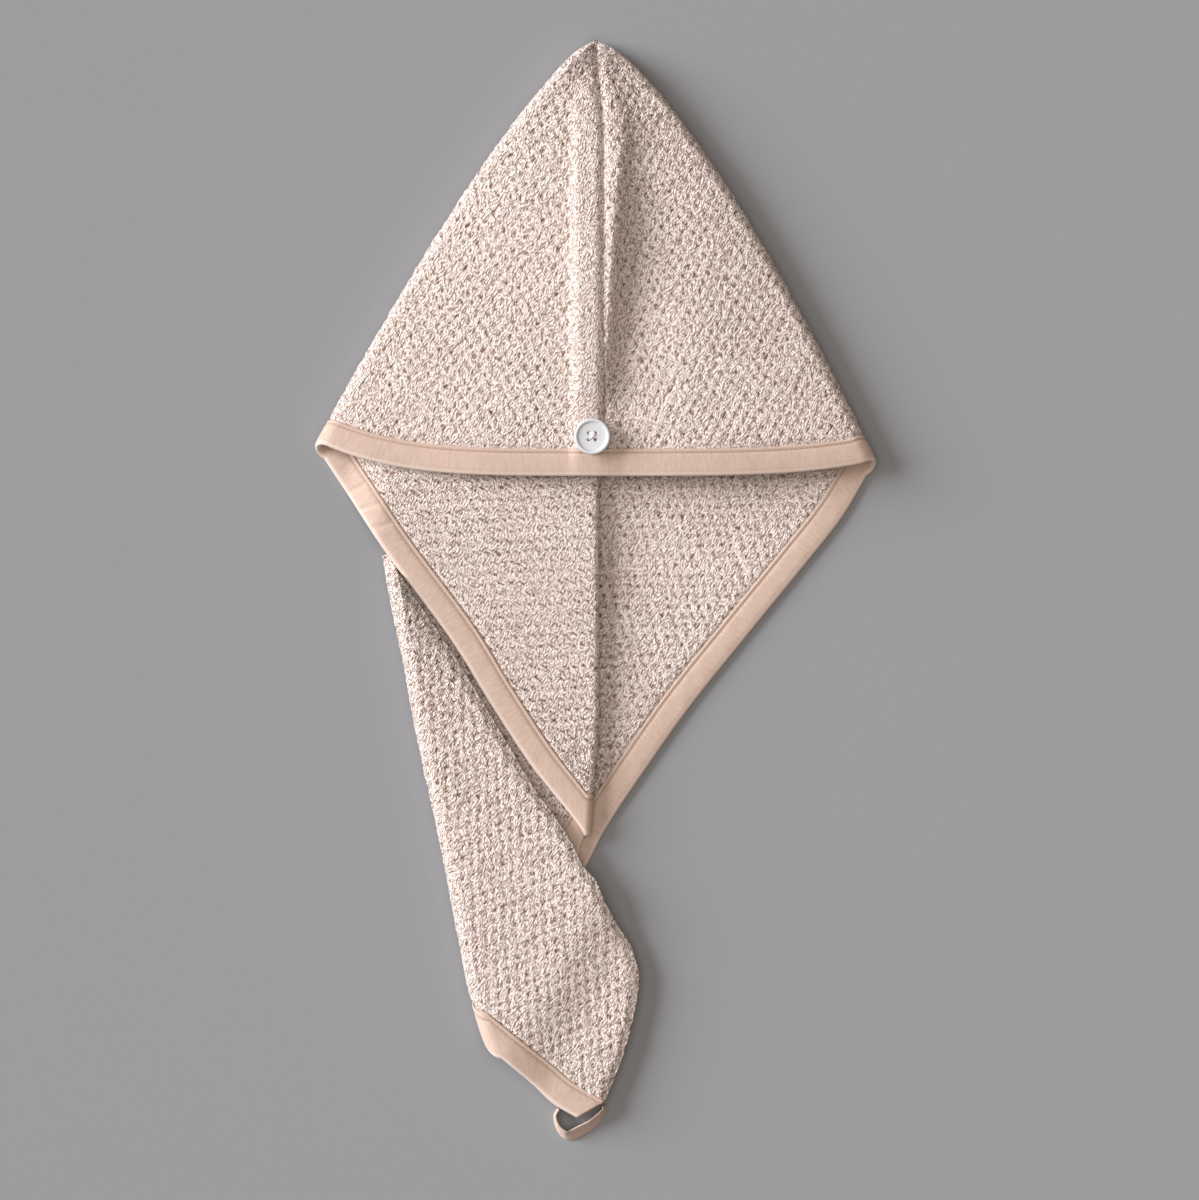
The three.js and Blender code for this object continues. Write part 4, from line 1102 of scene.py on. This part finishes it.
def plastic_material():
    material, tree, shader, speckle = speckled_material(
        "plastic", 0.32, 0.0, (90.0, 3.0), srgb(192, 194, 198), srgb(200, 202, 206))
    set_bump(tree, shader, speckle, 0.15, 0.0001)
    shader.inputs["Subsurface Weight"].default_value = 0.1
    shader.inputs["Subsurface Scale"].default_value = 0.002
    return material


terry = terry_material()
tape = tape_material()
thread, white_thread = (speckled_material(name, 0.6, 0.2, (1500.0, 2.0), *colors)[0] for name, *colors in [
    ("thread", srgb(168, 136, 116), srgb(194, 162, 144)),
    ("white_thread", srgb(224, 222, 222), srgb(246, 244, 242)),
])
plastic = plastic_material()
for piece, material, slot in [
    (left_cloth, terry, "terry"), (right_cloth, terry, "terry"), (binding, tape, "tape"),
    (loop, tape, "tape"), (stitches[0], thread, "tape"), (stitches[1], thread, "tape"),
    (button, plastic, "button"), (button_thread, white_thread, "button"),
]:
    piece.data.materials.clear()
    piece.data.materials.append(material)
    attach(piece, "root")
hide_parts("left_panel")
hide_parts("right_panel")
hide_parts("left_binding", "right_binding")
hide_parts("hanging_loop")
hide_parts("button")

# The floor, the lights and the camera, which looks straight down on the middle of the picture.
FLOOR = 6000.0
floor_corners = [(x * FLOOR, y * FLOOR, 0) for x, y in SQUARE]
floor = add_object("floor", plain_mesh("floor", floor_corners, [(0, 1, 2, 3)]))
floor_material, floor_tree, floor_shader = node_material("floor", 0.9)
floor_shader.inputs["Base Color"].default_value = srgb(136, 137, 141)
floor.data.materials.append(floor_material)


def add_light(kind, name, place, size, strength, color):
    """A light that faces the object, with soft shadows."""
    data = bpy.data.lights.new(name, kind)
    data.color = color
    if kind == "SUN":
        data.angle = size
    else:
        data.shape = "DISK"
        data.size = size
    data.energy = strength
    light = add_object(name, data)
    light.location = place
    light.rotation_mode = "QUATERNION"
    light.rotation_quaternion = (-Vector(place)).to_track_quat("-Z", "Y")


add_light("SUN", "key", (-4.8, 1.45, 1.95), radians(34), 6.0, (0.96, 0.98, 1.0))
add_light("AREA", "fill", (0.0, 0.0, 5.0), 6.0, 160, (1.0, 0.92, 0.84))
world = bpy.data.worlds.new("studio")
world.use_nodes = True
background = world.node_tree.nodes["Background"]
background.inputs["Color"].default_value = (1.0, 0.9, 0.8, 1)
background.inputs["Strength"].default_value = 0.16
bpy.context.scene.world = world
bpy.context.scene.view_settings.view_transform = "Standard"

camera_data = bpy.data.cameras.new("camera")
camera_data.lens = 200
camera_data.sensor_width = 36
camera_data.clip_end = 20
camera = add_object("camera", camera_data)
camera.location = (0.0023, -0.0042, 4.0)
bpy.context.scene.camera = camera
